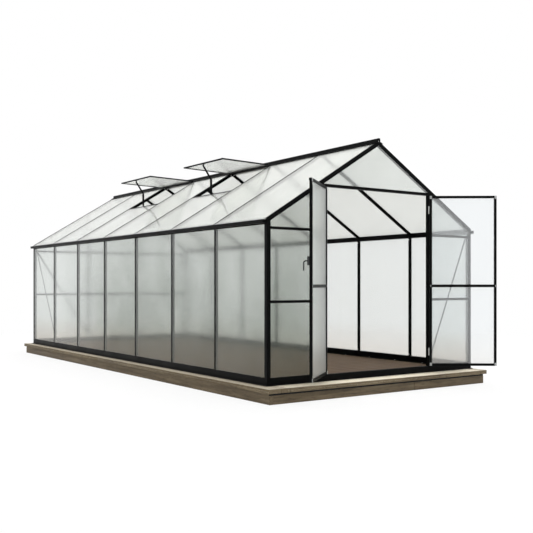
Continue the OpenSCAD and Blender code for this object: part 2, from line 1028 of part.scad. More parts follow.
// Tab on the sill, bored for the pin in the channel link's foot
module opener_foot_bracket(y_mid) {
    on_left_slope()
        block([sill_s - sill_lip, y_mid - channel_link_w / 2, cover_n],
            [sill_s + sill_web, y_mid + channel_link_w / 2, cover_n + cheek_t]);
    run_y(y_mid - link_t / 2, y_mid + link_t / 2)
        difference() {
            link_outline(opener_base + [0, cheek_t], opener_foot, link_w - 2 * cheek_t);
            pin_hole(opener_foot);
            translate(opener_base)
                rotate(roof_pitch)
                    translate([-link_w, -link_w])
                        square([2 * link_w, link_w]);
        }
}

// Lower link: two cheeks with a web between them, and a pin at each end
module opener_channel_link(y_mid) {
    web_low = channel_link_w;
    two_cheeks(y_mid)
        link_outline(opener_foot, opener_elbow, channel_link_w);
    block([opener_foot[0] - channel_link_w / 2, y_mid - cheek_y - lap, opener_foot[1] + web_low],
        [opener_foot[0] - channel_link_w / 2 + cheek_t, y_mid + cheek_y + lap, opener_elbow[1] - web_low]);
    link_pin(opener_foot, y_mid);
    link_pin(opener_elbow, y_mid);
}

module opener_flat_link(y_mid) {
    run_y(y_mid - link_t / 2, y_mid + link_t / 2)
        difference() {
            link_outline(opener_elbow, opener_top, link_w);
            pin_hole(opener_elbow);
            pin_hole(opener_top);
        }
}

// Clevis under the sash's free edge, with the pin that the flat link hangs on
module opener_top_bracket(y_mid) {
    two_cheeks(y_mid)
        difference() {
            link_outline(opener_seat, opener_top, link_w - 2 * cheek_t);
            translate(opener_seat)
                rotate(lift)
                    translate([-link_w, 0])
                        square([2 * link_w, link_w]);
        }
    lifted()
        block([-opener_d - sash_bar / 2 + metal_t, y_mid - channel_link_w, sash_n0 - cheek_t],
            [-opener_d + sash_bar / 2, y_mid + channel_link_w, sash_n0]);
    link_pin(opener_top, y_mid);
}

module vent_openers() {
    color("#22262a")
        for (k = vent_bays) {
            y_mid = (bar_y(k - 1) + bar_y(k)) / 2;
            opener_foot_bracket(y_mid);
            opener_channel_link(y_mid);
            opener_flat_link(y_mid);
            opener_top_bracket(y_mid);
        }
}

// ---- Doors ---------------------------------------------------------------------------------

// Places a leaf drawn from its hinge axis: X along the leaf, Y inwards, Z up from its foot
module left_leaf() {
    translate([-opening_w / 2 + door_gap / 2, front_y - hinge_out, leaf_z])
        rotate([0, 0, -left_open])
            children();
}

module right_leaf() {
    mirror([1, 0, 0])
        translate([-opening_w / 2 + door_gap / 2, front_y - hinge_out, leaf_z])
            rotate([0, 0, -right_open])
                children();
}

leaf_x0 = door_gap / 2;
leaf_x1 = leaf_x0 + leaf_w;
leaf_y0 = hinge_out;

// A stile with its channel towards +X, standing at X = 0
module stile_section() {
    polygon([[0, 0], [leaf_bar, 0], [leaf_bar, pane_y], [leaf_bar - groove_d, pane_y],
        [leaf_bar - groove_d, pane_y + channel_w], [leaf_bar, pane_y + channel_w],
        [leaf_bar, leaf_t], [0, leaf_t]]);
}

module leaf_stiles() {
    color("#15181a") {
        run_z(0, leaf_h)
            translate([leaf_x0, leaf_y0])
                stile_section();
        run_z(0, leaf_h)
            translate([leaf_x1, leaf_y0])
                mirror([1, 0])
                    stile_section();
    }
}

// Middle rail section: inwards from the leaf's outer face, then height from the rail's middle
module middle_rail_section() {
    half = leaf_bar / 2;
    polygon([
        [0, -half],
        [pane_y, -half],
        [pane_y, -web_t / 2],
        [pane_y + channel_w, -web_t / 2],
        [pane_y + channel_w, -half],
        [leaf_t, -half],
        [leaf_t, half],
        [pane_y + channel_w, half],
        [pane_y + channel_w, web_t / 2],
        [pane_y, web_t / 2],
        [pane_y, half],
        [0, half]
    ]);
}

module leaf_rails() {
    x0 = leaf_x0 + leaf_bar;
    x1 = leaf_x1 - leaf_bar;
    color("#15181a") {
        run_x(x0, x1)
            translate([leaf_y0, 0])
                rotate(90)
                    mirror([0, 1])
                        stile_section();
        run_x(x0, x1)
            translate([leaf_y0, leaf_rail_z])
                middle_rail_section();
        run_x(x0, x1)
            translate([leaf_y0, leaf_h])
                rotate(90)
                    mirror([0, 1])
                        mirror([1, 0])
                            stile_section();
        run_x(x0, leaf_x1)
            translate([leaf_y0 - drip_d, leaf_h - drip_w])
                drip_section();
    }
}

// Strip over the top rail that throws rain off the leaf, wider at its foot
module drip_section() {
    nose = 4;
    polygon([[0, 0], [drip_d, 0], [drip_d, drip_w], [nose, drip_w], [0, nose]]);
}

module leaf_sheets() {
    x0 = leaf_x0 + leaf_bar - groove_d + edge_play;
    x1 = leaf_x1 - leaf_bar + groove_d - edge_play;
    y0 = leaf_y0 + pane_y + seal;
    z_in = leaf_bar - groove_d;
    gap = web_t / 2;
    color("#dfe4e4") {
        block([x0, y0, z_in], [x1, y0 + sheet_t, leaf_rail_z - gap - edge_play]);
        block([x0, y0, leaf_rail_z + gap], [x1, y0 + sheet_t, leaf_h - z_in - edge_play]);
    }
}

// Plates over the corner joints on a leaf's inner face
module leaf_corners() {
    edge_in = 1;
    color("#a8adae")
        for (x = [leaf_x0 + edge_in, leaf_x1 - leaf_bar + edge_in])
            for (z = [edge_in, leaf_h - corner_plate_h - edge_in])
                block([x, leaf_y0 + leaf_t, z],
                    [x + leaf_bar - 2 * edge_in, leaf_y0 + leaf_t + corner_plate_t, z + corner_plate_h]);
}

// Heights of a leaf's hinges above its foot
hinge_zs = [hinge_inset, leaf_h - hinge_inset];

// Upper half of a hinge, fixed to the leaf and bored for the pin
module leaf_hinges() {
    color("#c3c6c6")
        for (z = hinge_zs)
            difference() {
                union() {
                    translate([0, 0, z + hinge_play])
                        cylinder(r = hinge_r, h = hinge_half, $fn = round_fn);
                    block([0, hinge_out - hinge_plate_t, z + hinge_play],
                        [hinge_plate_w, hinge_out, z + hinge_play + hinge_half]);
                }
                translate([0, 0, z])
                    cylinder(r = hinge_pin_r + pin_play, h = hinge_half - hinge_plate_t, $fn = round_fn);
            }
}

// Lower half of a hinge, fixed to the door post and carrying the pin
module post_hinge(z) {
    translate([0, 0, z - hinge_half])
        cylinder(r = hinge_r, h = hinge_half, $fn = round_fn);
    translate([0, 0, z - lap])
        cylinder(r = hinge_pin_r, h = hinge_half - 2 * hinge_plate_t, $fn = round_fn);
    block([-hinge_plate_w, hinge_out - hinge_plate_t, z - hinge_half],
        [0, hinge_out, z]);
}

module door_post_hinges() {
    color("#c3c6c6")
        left_and_right()
            for (z = hinge_zs)
                translate([-opening_w / 2 + door_gap / 2, front_y - hinge_out, leaf_z])
                    post_hinge(z);
}

spindle_x = leaf_x1 - leaf_bar / 2;
spindle_z = deck_z + handle_h - leaf_z;

// Lock case on the left leaf's outer face, bored for the lever's spindle
module lock_case() {
    corner_r = 5;
    color("#1b1e20")
        translate([spindle_x, leaf_y0, spindle_z])
            rotate([90, 0, 0])
                difference() {
                    linear_extrude(height = lock_d)
                        union() {
                            square([lock_w, lock_h - 2 * corner_r], center = true);
                            square([lock_w - 2 * corner_r, lock_h], center = true);
                            for (x = [-1, 1])
                                for (y = [-1, 1])
                                    translate([x * (lock_w / 2 - corner_r), y * (lock_h / 2 - corner_r)])
                                        circle(r = corner_r, $fn = round_fn);
                        }
                    translate([0, 0, lock_d - spindle_in])
                        cylinder(r = spindle_r + pin_play, h = spindle_in + lap, $fn = round_fn);
                }
}

// Grip outline: radius, then height below the elbow's end
module grip_profile() {
    end_r = 8;
    tip = 4;
    foot = elbow_r - grip_len;
    polygon([[0, foot], [end_r - tip, foot], [end_r, foot + tip], [end_r, foot + 2 * tip],
        [neck_r, foot / 2], [neck_r, 0], [0, 0]]);
}

module lever() {
    y_face = leaf_y0 - lock_d - spindle_play;
    y_grip = leaf_y0 - grip_out;
    color("#1b1e20")
        translate([spindle_x, 0, spindle_z]) {
            translate([0, y_face + spindle_in, 0])
                rotate([90, 0, 0])
                    cylinder(r = spindle_r, h = spindle_in + lap, $fn = round_fn);
            translate([0, y_face, 0])
                rotate([90, 0, 0])
                    cylinder(r = neck_r, h = y_face - y_grip - elbow_r, $fn = round_fn);
            translate([0, y_grip + elbow_r, -elbow_r])
                rotate([90, 0, 90])
                    rotate(90)
                        rotate_extrude(angle = 90, $fn = round_fn)
                            translate([elbow_r, 0])
                                circle(r = neck_r, $fn = round_fn);
            translate([0, y_grip, -elbow_r])
                rotate_extrude($fn = round_fn)
                    grip_profile();
        }
}

module left_door_stiles() {
    left_leaf() leaf_stiles();
}

module left_door_rails() {
    left_leaf() leaf_rails();
}

module left_door_sheets() {
    left_leaf() leaf_sheets();
}

module left_door_hinges() {
    left_leaf() leaf_hinges();
}

module left_door_corners() {
    left_leaf() leaf_corners();
}

module left_door_lock() {
    left_leaf() lock_case();
}

module door_lever() {
    left_leaf() lever();
}

module right_door_stiles() {
    right_leaf() leaf_stiles();
}

module right_door_rails() {
    right_leaf() leaf_rails();
}

module right_door_sheets() {
    right_leaf() leaf_sheets();
}

module right_door_corners() {
    right_leaf() leaf_corners();
}

module right_door_hinges() {
    right_leaf() leaf_hinges();
}

deck_bearers_long();
deck_bearers_cross();
deck_joists();
deck_capping_long();
deck_capping_cross();
deck_floor();
base_rails_long();
base_rails_cross();
door_threshold();
corner_posts();
wall_bars();
eaves_beams();
gutters();
ridge_bar();
roof_bars();
gable_rafters();
door_posts();
door_head();
front_gable_rails();
rear_gable_posts();
rear_gable_rails();
braces();
wall_sheets();
roof_sheets();
front_gable_sheets();
rear_gable_sheets();
vent_sills();
vent_sash_sides();
vent_sash_ends();
vent_sheets();
vent_openers();
door_post_hinges();
left_door_stiles();
left_door_rails();
left_door_sheets();
left_door_corners();
left_door_hinges();
left_door_lock();
door_lever();
right_door_stiles();
right_door_rails();
right_door_sheets();
right_door_corners();
right_door_hinges();
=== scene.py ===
import bmesh
import bpy
import json
import math
from mathutils import Matrix, Vector


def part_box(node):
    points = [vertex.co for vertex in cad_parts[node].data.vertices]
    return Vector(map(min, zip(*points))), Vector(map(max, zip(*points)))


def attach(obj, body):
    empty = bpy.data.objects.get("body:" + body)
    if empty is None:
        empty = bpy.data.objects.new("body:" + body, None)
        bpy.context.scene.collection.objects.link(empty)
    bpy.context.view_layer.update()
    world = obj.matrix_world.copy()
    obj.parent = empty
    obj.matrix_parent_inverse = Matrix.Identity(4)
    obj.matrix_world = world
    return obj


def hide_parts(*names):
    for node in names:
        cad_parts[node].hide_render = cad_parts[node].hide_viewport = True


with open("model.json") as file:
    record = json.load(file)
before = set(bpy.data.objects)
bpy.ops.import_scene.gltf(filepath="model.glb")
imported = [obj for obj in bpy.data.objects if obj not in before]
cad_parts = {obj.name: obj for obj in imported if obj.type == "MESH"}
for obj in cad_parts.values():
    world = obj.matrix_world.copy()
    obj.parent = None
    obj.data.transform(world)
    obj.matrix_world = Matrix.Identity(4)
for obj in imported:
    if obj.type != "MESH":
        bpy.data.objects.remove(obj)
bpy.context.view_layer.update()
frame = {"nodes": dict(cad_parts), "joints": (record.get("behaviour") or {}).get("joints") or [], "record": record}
nodes = frame["nodes"]
joints = {joint["name"]: joint for joint in frame["joints"]}

# Sizes of the frame that its boxes do not give, in metres.
house = {
    "bayCount": 7,
    "postWide": 0.044,
    "coverHalf": 0.012,      # half a wall bar's cover strip
    "barDepth": 0.040,
    "doorHalf": 0.770,       # half the door opening
    "doorPost": 0.030,
    "rearPostX": 0.495,
    "midRailZ": 0.989,
    "upperRailZ": 1.725,
    "sheetOut": 0.0032,      # setback of a wall sheet behind the bars' outer faces
    "rafterDeep": 0.034,
}

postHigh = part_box("corner_posts")[1]
railLow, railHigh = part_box("base_rails_long")
wallX, wallY = postHigh.x, postHigh.y
deckTop, railTop = railLow.z, railHigh.z
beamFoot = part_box("eaves_beams")[0].z
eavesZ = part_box("gutters")[1].z
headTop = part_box("door_head")[1].z
bayPitch = 2 * wallY / house["bayCount"]
bays = range(1, house["bayCount"] + 1)


# Normal of a node's largest face that looks towards a direction.
def widestFace(node, towards):
    faces = [f for f in nodes[node].data.polygons if f.normal.dot(Vector(towards)) > 0.7]
    return max(faces, key=lambda f: f.area).normal.copy()


leftSlope = widestFace("roof_sheets", (-1, 0, 1))        # points away from the left slope
slopeUp = Vector((leftSlope.z, 0, -leftSlope.x))         # runs up the left slope
roofPitch = math.atan2(slopeUp.z, slopeUp.x)


# A point along metres up a slope and out metres above the underside of its sheets.
def slopePoint(along, out, y, side=-1):
    spot = Vector((-wallX, y, eavesZ)) + slopeUp * along + leftSlope * out
    return Vector((-side * spot.x, spot.y, spot.z))


def slopeNormal(side):
    return Vector((-side * leftSlope.x, 0, leftSlope.z))


# Height of the gable rafters' underside, x from the ridge.
def rafterZ(x):
    return eavesZ - house["rafterDeep"] / slopeUp.x + (wallX - abs(x)) * math.tan(roofPitch)


def barY(k):
    return -wallY + k * bayPitch


# Where bay k starts and stops along Y, in from its bars or from the house's ends.
def bayEnds(k, barIn, endIn):
    start = -wallY + endIn if k == 1 else barY(k - 1) + barIn
    stop = wallY - endIn if k == bays[-1] else barY(k) - barIn
    return start, stop


# An open leaf's place: X along the leaf on the left one and against it on the right, Y inwards.
def leafPlace(side):
    joint = joints["left_door_hinge" if side < 0 else "right_door_hinge"]
    turn = math.radians(side * joint["range_deg"][1])
    return Matrix.Translation(joint["pos_m"]) @ Matrix.Rotation(turn, 4, "Z")


def selectOnly(*things):
    bpy.ops.object.select_all(action="DESELECT")
    for thing in things:
        thing.select_set(True)
    bpy.context.view_layer.objects.active = things[0]


# Puts a piece's place into its mesh, so that its object sits at the origin.
def fixPlace(piece, name):
    selectOnly(piece)
    bpy.ops.object.transform_apply(location=True, rotation=True, scale=True)
    piece.name = name
    return piece


# A box between two corners, the start of a board or a plate.
def addBlock(name, low, high):
    low, high = Vector(low), Vector(high)
    bpy.ops.object.select_all(action="DESELECT")
    bpy.ops.mesh.primitive_cube_add(size=1, location=(low + high) / 2, scale=high - low)
    return fixPlace(bpy.context.object, name)


# A low cylinder that stands on the origin, the start of a screw or a bolt.
def addDisc(name, radius, height, sides=16):
    bpy.ops.object.select_all(action="DESELECT")
    bpy.ops.mesh.primitive_cylinder_add(vertices=sides, radius=radius, depth=height,
        location=(0, 0, height / 2))
    return fixPlace(bpy.context.object, name)


def useModifier(piece, kind, **settings):
    selectOnly(piece)
    bpy.ops.object.modifier_add(type=kind)
    modifier = piece.modifiers[-1]
    for key, value in settings.items():
        setattr(modifier, key, value)
    bpy.ops.object.modifier_apply(modifier=modifier.name)
    return piece


def roundEdges(piece, width, segments=2):
    return useModifier(piece, "BEVEL", width=width, segments=segments, limit_method="ANGLE",
        angle_limit=math.radians(30))


beyond = 10                  # farther than any piece reaches, for cuts that pass right through


# Cuts the box between two corners out of a piece.
def cutAway(piece, low, high):
    cutter = addBlock("cutter", low, high)
    useModifier(piece, "BOOLEAN", object=cutter, operation="DIFFERENCE", solver="EXACT")
    bpy.data.objects.remove(cutter)
    return piece


# Opens a piece in edit mode, with the faces or corners selected that pass a test.
def editPiece(piece, kind="FACE", test=lambda part: True):
    selectOnly(piece)
    bpy.ops.object.mode_set(mode="EDIT")
    bpy.ops.mesh.select_mode(type=kind)
    bpy.ops.mesh.select_all(action="DESELECT")
    mesh = bmesh.from_edit_mesh(piece.data)
    for part in mesh.faces if kind == "FACE" else mesh.verts:
        part.select_set(test(part))
    bmesh.update_edit_mesh(piece.data)


# Trims a piece at a plane and closes the cut; what lies on the normal's side goes.
def trimAt(piece, point, normal):
    editPiece(piece)
    bpy.ops.mesh.bisect(plane_co=point, plane_no=normal, use_fill=True, clear_outer=True)
    bpy.ops.object.mode_set(mode="OBJECT")
    return piece


# Draws in the faces that look along a direction, which chamfers their rims.
def drawIn(piece, direction, inset, depth):
    editPiece(piece, test=lambda face: face.normal.dot(Vector(direction)) > 0.9)
    bpy.ops.mesh.inset(thickness=inset, depth=depth)
    bpy.ops.object.mode_set(mode="OBJECT")
    return piece


def joinAll(name, pieces):
    selectOnly(*pieces)
    if len(pieces) > 1:
        bpy.ops.object.join()
    pieces[0].name = name
    pieces[0].data.name = name
    return pieces[0]


# Copies a model to each place, each copy with its own mesh, and joins them to one piece.
def repeat(model, name, places):
    copies = []
    for place in places:
        twin = model.copy()
        twin.data = model.data.copy()
        twin.data.transform(place)
        bpy.context.scene.collection.objects.link(twin)
        copies.append(twin)
    bpy.data.objects.remove(model)
    return joinAll(name, copies)


# Stands a model made on +Z at a point, looking along a direction.
def facing(point, direction, spin=0.0):
    turn = Vector(direction).to_track_quat("Z", "Y").to_matrix().to_4x4()
    return Matrix.Translation(point) @ turn @ Matrix.Rotation(spin, 4, "Z")


# Gives a finished piece its material and its body, and hides the nodes that it stands for.
def finishPiece(piece, material, body, stands=()):
    selectOnly(piece)
    piece.data.materials.clear()
    piece.data.materials.append(material)
    bpy.ops.object.shade_smooth_by_angle(angle=math.radians(35))
    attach(piece, body)
    if stands:
        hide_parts(*stands)
    return piece


# Sets a shader node's inputs, each to a value or to another node's output.
def feed(tree, node, inputs):
    for key, value in inputs.items():
        if isinstance(value, bpy.types.NodeSocket):
            tree.links.new(value, node.inputs[key])
        else:
            node.inputs[key].default_value = value


def addNode(tree, kind, inputs=None, **settings):
    node = tree.nodes.new("ShaderNode" + kind)
    for key, value in settings.items():
        setattr(node, key, value)
    feed(tree, node, inputs or {})
    return node


def calculate(tree, operation, first, second=0.0):
    return addNode(tree, "Math", {0: first, 1: second}, operation=operation).outputs[0]


def remap(tree, value, fromMin, fromMax, toMin, toMax):
    return addNode(tree, "MapRange", {"Value": value, "From Min": fromMin, "From Max": fromMax,
        "To Min": toMin, "To Max": toMax}).outputs["Result"]


# A noise's usual range, from 0.3 to 0.7, stretched to run from low to high.
def fromNoise(tree, value, low, high):
    return remap(tree, value, 0.3, 0.7, low, high)


def mixColours(tree, share, first, second):
    return addNode(tree, "Mix", {0: share, 6: first, 7: second}, data_type="RGBA").outputs[2]


def noise(tree, where, scale, detail=2.0, **more):
    inputs = {"Vector": where, "Scale": scale, "Detail": detail}
    return addNode(tree, "TexNoise", inputs | more).outputs["Fac"]


# A new material, its nodes, its shader and the coordinates that its patterns follow.
def newMaterial(name):
    material = bpy.data.materials.new(name)
    material.use_nodes = True
    tree = material.node_tree
    return material, tree, tree.nodes["Principled BSDF"], addNode(tree, "TexCoord").outputs


def addBump(tree, shader, height, distance, strength):
    bump = addNode(tree, "Bump", {"Height": height, "Distance": distance, "Strength": strength})
    feed(tree, shader, {"Normal": bump.outputs["Normal"]})


view = {"place": (-5.991, -10.0153, 1.1644), "turn": 34.638, "lens": 54.186, "sensor": 36,
    "shiftY": 0.0331, "farthest": 200}

bpy.ops.object.select_all(action="DESELECT")
bpy.ops.object.camera_add(location=view["place"],
    rotation=(math.radians(90), 0, math.radians(-view["turn"])))
camera = bpy.context.object
camera.name = "viewCamera"
camera.data.lens = view["lens"]
camera.data.sensor_width = view["sensor"]
camera.data.shift_y = view["shiftY"]
camera.data.clip_end = view["farthest"]
bpy.context.scene.camera = camera
bpy.context.scene.view_settings.view_transform = "Standard"

studio = {
    "floorSize": 80,
    "floorColour": (0.88, 0.88, 0.875, 1),
    "floorRough": 0.95,
    "clearFrom": 5.0,        # distance from the house where the floor starts to turn white
    "clearTo": 9.0,
    "nearWhite": 0.85,       # share of plain white on the floor beside the house
    "skyLevel": 0.95,
    "lampAim": (0, 0, 1),
    "lamps": [
        {"name": "topLamp", "place": (1, 0, 11), "size": 9, "power": 800},
        {"name": "sideLamp", "place": (11, -3, 6), "size": 6, "power": 250},
    ],
}


# One where the camera, a gloss or a clear sheet looks, and zero where light falls on things.
def seenDirectly(tree):
    path = addNode(tree, "LightPath")
    first = calculate(tree, "MAXIMUM", path.outputs["Is Camera Ray"], path.outputs["Is Glossy Ray"])
    return calculate(tree, "MAXIMUM", first, path.outputs["Is Transmission Ray"])


world = bpy.data.worlds.new("studioWorld")
bpy.context.scene.world = world
world.use_nodes = True
tree = world.node_tree
skyLevel = remap(tree, seenDirectly(tree), 0, 1, studio["skyLevel"], 1)
feed(tree, tree.nodes["Background"], {"Color": (1, 1, 1, 1), "Strength": skyLevel})

bpy.ops.mesh.primitive_plane_add(size=studio["floorSize"])
floor = bpy.context.object
floor.name = "studioFloor"
floorPaint, tree, shader, coordinates = newMaterial("studioFloorPaint")
feed(tree, shader, {"Base Color": studio["floorColour"], "Roughness": studio["floorRough"],
    "Specular IOR Level": 0})
distance = addNode(tree, "VectorMath", {0: coordinates["Object"]}, operation="LENGTH").outputs["Value"]
fade = remap(tree, distance, studio["clearFrom"], studio["clearTo"], studio["nearWhite"], 1)
share = calculate(tree, "MULTIPLY", fade, seenDirectly(tree))
glow = addNode(tree, "Emission", {"Strength": 1.0})
both = addNode(tree, "MixShader", {0: share, 1: shader.outputs[0], 2: glow.outputs[0]})
feed(tree, tree.nodes["Material Output"], {"Surface": both.outputs[0]})
floor.data.materials.append(floorPaint)

for lamp in studio["lamps"]:
    bpy.ops.object.light_add(type="AREA", location=lamp["place"])
    light = bpy.context.object
    light.name = lamp["name"]
    light.data.size = lamp["size"]
    light.data.energy = lamp["power"]
    aim = Vector(studio["lampAim"]) - Vector(lamp["place"])
    light.rotation_euler = aim.to_track_quat("-Z", "Y").to_euler()

print("camera, floor and light are set")

frameLook = {"colour": (0.0022, 0.0025, 0.0026, 1), "rough": 0.36, "gloss": 0.05, "dust": 0.02,
    "dustColour": (0.10, 0.10, 0.09, 1), "peelScale": 700.0, "peelDeep": 0.00012, "patchScale": 5.0}
handleLook = dict(frameLook, colour=(0.016, 0.018, 0.019, 1), gloss=0.4, rough=0.34)


# Satin powder coat: fine orange peel, and a film of dust on what looks up.
def powderCoat(name, look):
    material, tree, shader, coordinates = newMaterial(name)
    where = coordinates["Object"]
    peel = noise(tree, where, look["peelScale"])
    patches = noise(tree, where, look["patchScale"], 5.0)
    up = addNode(tree, "SeparateXYZ", {0: coordinates["Normal"]}).outputs["Z"]
    spread = calculate(tree, "MULTIPLY", remap(tree, up, 0.3, 1.0, 0, look["dust"]),
        remap(tree, patches, 0.35, 0.7, 0.3, 1))
    colour = mixColours(tree, spread, look["colour"], look["dustColour"])
    rough = fromNoise(tree, patches, look["rough"] - 0.06, look["rough"] + 0.08)
    feed(tree, shader, {"Base Color": colour, "Roughness": rough, "Specular IOR Level": look["gloss"]})
    addBump(tree, shader, peel, look["peelDeep"], 0.5)
    return material


frameBlack = powderCoat("blackPowderCoat", frameLook)
handleBlack = powderCoat("charcoalHandle", handleLook)

rubberLook = {"colour": (0.006, 0.006, 0.006, 1), "worn": (0.020, 0.020, 0.019, 1), "rough": 0.7,
    "gloss": 0.2, "spotScale": 14.0, "grainScale": 900.0, "grainDeep": 0.0002}


# Extruded rubber: matt, with a fine grain and worn spots.
def rubber(name, look):
    material, tree, shader, coordinates = newMaterial(name)
    where = coordinates["Object"]
    spots = noise(tree, where, look["spotScale"], 4.0)
    grain = noise(tree, where, look["grainScale"])
    colour = mixColours(tree, remap(tree, spots, 0.45, 0.7, 0, 1), look["colour"], look["worn"])
    rough = fromNoise(tree, spots, look["rough"] - 0.08, look["rough"] + 0.1)
    feed(tree, shader, {"Base Color": colour, "Roughness": rough, "Specular IOR Level": look["gloss"]})
    addBump(tree, shader, grain, look["grainDeep"], 0.5)
    return material


blackRubber = rubber("blackRubber", rubberLook)

sheetLook = {
    "clear": 0.84,
    "bend": 1.18,              # how much a sheet bends light
    "rough": 0.12,
    "gloss": 0.3,
    "pale": (0.965, 0.985, 0.975, 1),
    "dull": (0.95, 0.97, 0.96, 1),
    "flute": 0.0105,           # from one web between the two walls to the next
    "webWide": (0.0003, 0.0012),
    "webShare": 0.12,
    "webColour": (0.82, 0.85, 0.84, 1),
    "streakWide": 4.0,
    "streakLong": 0.3,
    "cloudScale": 1.3,
    "paintedShade": 0.0,               # painted shade, strongest low down, on the left and towards the front
    "paintedShadeColour": (0.42, 0.45, 0.41, 1),
    "paintedShadeHigh": (railTop, beamFoot + 0.3),
    "paintedShadeX": (-1.2, 0.2),
    "paintedShadeY": (0.2, 2.2),
    "paintedShadeRest": 0.12,
    "warmFoot": 0.34,            # warmer tint low down on the sheets
    "warmFootColour": (0.66, 0.54, 0.42, 1),
    "warmFootHigh": (railTop - 0.02, railTop + 0.40),
}
roofLook = dict(sheetLook, webShare=0.05, pale=(0.97, 0.985, 0.955, 1), dull=(0.955, 0.97, 0.94, 1))
ventLook = dict(roofLook, clear=0.90, bend=1.1)
wallLook = dict(sheetLook, paintedShade=1.0, paintedShadeHigh=(railTop, beamFoot + 1.4))
gableLook = dict(wallLook, paintedShade=1.25)
leafLook = dict(sheetLook, warmFoot=0.15, bend=1.12, pale=(0.96, 0.98, 0.99, 1),
    dull=(0.945, 0.965, 0.975, 1))
leftLeafLook = dict(leafLook, rough=0.3, pale=(0.975, 0.99, 0.97, 1), dull=(0.96, 0.975, 0.955, 1))


# Frosted twin-wall sheet: flutes that run one way, soft haze, painted shade and a warmer tint at its foot.
def twinWall(name, across, along, look):
    material, tree, shader, coordinates = newMaterial(name)
    where = coordinates["Object"]
    side, length = (addNode(tree, "VectorMath", {0: where, 1: way}, operation="DOT_PRODUCT").outputs["Value"]
        for way in (across, along))
    split = addNode(tree, "SeparateXYZ", {0: where}).outputs
    web = remap(tree, calculate(tree, "PINGPONG", side, look["flute"] / 2), *look["webWide"], 1, 0)
    lanes = addNode(tree, "CombineXYZ", {"X": calculate(tree, "MULTIPLY", side, look["streakWide"]),
        "Y": calculate(tree, "MULTIPLY", length, look["streakLong"])}).outputs[0]
    streaks = noise(tree, lanes, 1.0)
    clouds = noise(tree, where, look["cloudScale"], 3.0)
    tone = mixColours(tree, fromNoise(tree, streaks, 0, 1), look["dull"], look["pale"])
    # Painted shade: a darker grey-green low down, on the left and towards the front.
    paintedShade = calculate(tree, "MULTIPLY", fromNoise(tree, clouds, 0.8, 1.1),
        remap(tree, split["Z"], *look["paintedShadeHigh"], look["paintedShade"], 0))
    paintedShade = calculate(tree, "MULTIPLY", paintedShade, remap(tree, split["X"], *look["paintedShadeX"], 1, 0))
    paintedShade = calculate(tree, "MULTIPLY", paintedShade, remap(tree, split["Y"], *look["paintedShadeY"], 1, look["paintedShadeRest"]))
    tone = mixColours(tree, paintedShade, tone, look["paintedShadeColour"])
    tone = mixColours(tree, calculate(tree, "MULTIPLY", web, look["webShare"]), tone, look["webColour"])
    # A warmer tint low down on each sheet.
    warmFoot = calculate(tree, "MULTIPLY", remap(tree, clouds, 0.3, 0.65, 0.25, look["warmFoot"]),
        remap(tree, split["Z"], *look["warmFootHigh"], 1, 0))
    tone = mixColours(tree, warmFoot, tone, look["warmFootColour"])
    rough = fromNoise(tree, streaks, look["rough"] - 0.02, look["rough"] + 0.03)
    feed(tree, shader, {"Base Color": tone, "Roughness": rough, "Transmission Weight": look["clear"],
        "IOR": look["bend"], "Specular IOR Level": look["gloss"]})
    return material


upright = (0, 0, 1)
leafAcross = {side: tuple(leafPlace(side).to_3x3() @ Vector((1, 0, 0))) for side in (-1, 1)}

# For each node of sheets: the direction across its flutes, the direction along them, and its look.
sheets = {
    "wall_sheets": ((0, 1, 0), upright, wallLook),
    "roof_sheets": ((0, 1, 0), (1, 0, 0), roofLook),
    "vent_sheets": ((0, 1, 0), (1, 0, 0), ventLook),
    "front_gable_sheets": ((1, 0, 0), upright, gableLook),
    "rear_gable_sheets": ((1, 0, 0), upright, wallLook),
    "left_door_sheets": (leafAcross[-1], upright, leftLeafLook),
    "right_door_sheets": (leafAcross[1], upright, leafLook),
}

cappingLook = {
    "dark": (0.100, 0.074, 0.043, 1),
    "mid": (0.185, 0.143, 0.085, 1),
    "light": (0.25, 0.20, 0.125, 1),
    "check": (0.045, 0.032, 0.018, 1),
    # Painted highlight: how much lighter and warmer the upward faces are, and its colour.
    "topHighlight": 1.0,
    "highlightColour": (0.97, 0.88, 0.71, 1),
    "rough": 0.62,
    "gloss": 0.35,
    "grainPull": 14.0,         # how much longer the grain is than it is wide
    "fibreScale": 9.0,
    "bandScale": 2.2,
    "ringScale": 1.3,
    "relief": 0.0012,
    "wallShadow": 0.85,              # painted shadow beside the base rails
    "wallShadowWide": 0.065,
    "wallShadowColour": (0.12, 0.09, 0.055, 1),
}
bearerLook = dict(cappingLook, dark=(0.078, 0.058, 0.034, 1), mid=(0.155, 0.117, 0.070, 1),
    light=(0.22, 0.170, 0.105, 1), check=(0.032, 0.022, 0.012, 1), topHighlight=0.3, wallShadow=0)
floorLook = dict(cappingLook, dark=(0.066, 0.041, 0.025, 1), mid=(0.125, 0.081, 0.052, 1),
    light=(0.175, 0.120, 0.078, 1), check=(0.022, 0.013, 0.008, 1), topHighlight=0.1,
    highlightColour=(0.30, 0.20, 0.13, 1), rough=0.55, gloss=0.12, wallShadow=0)
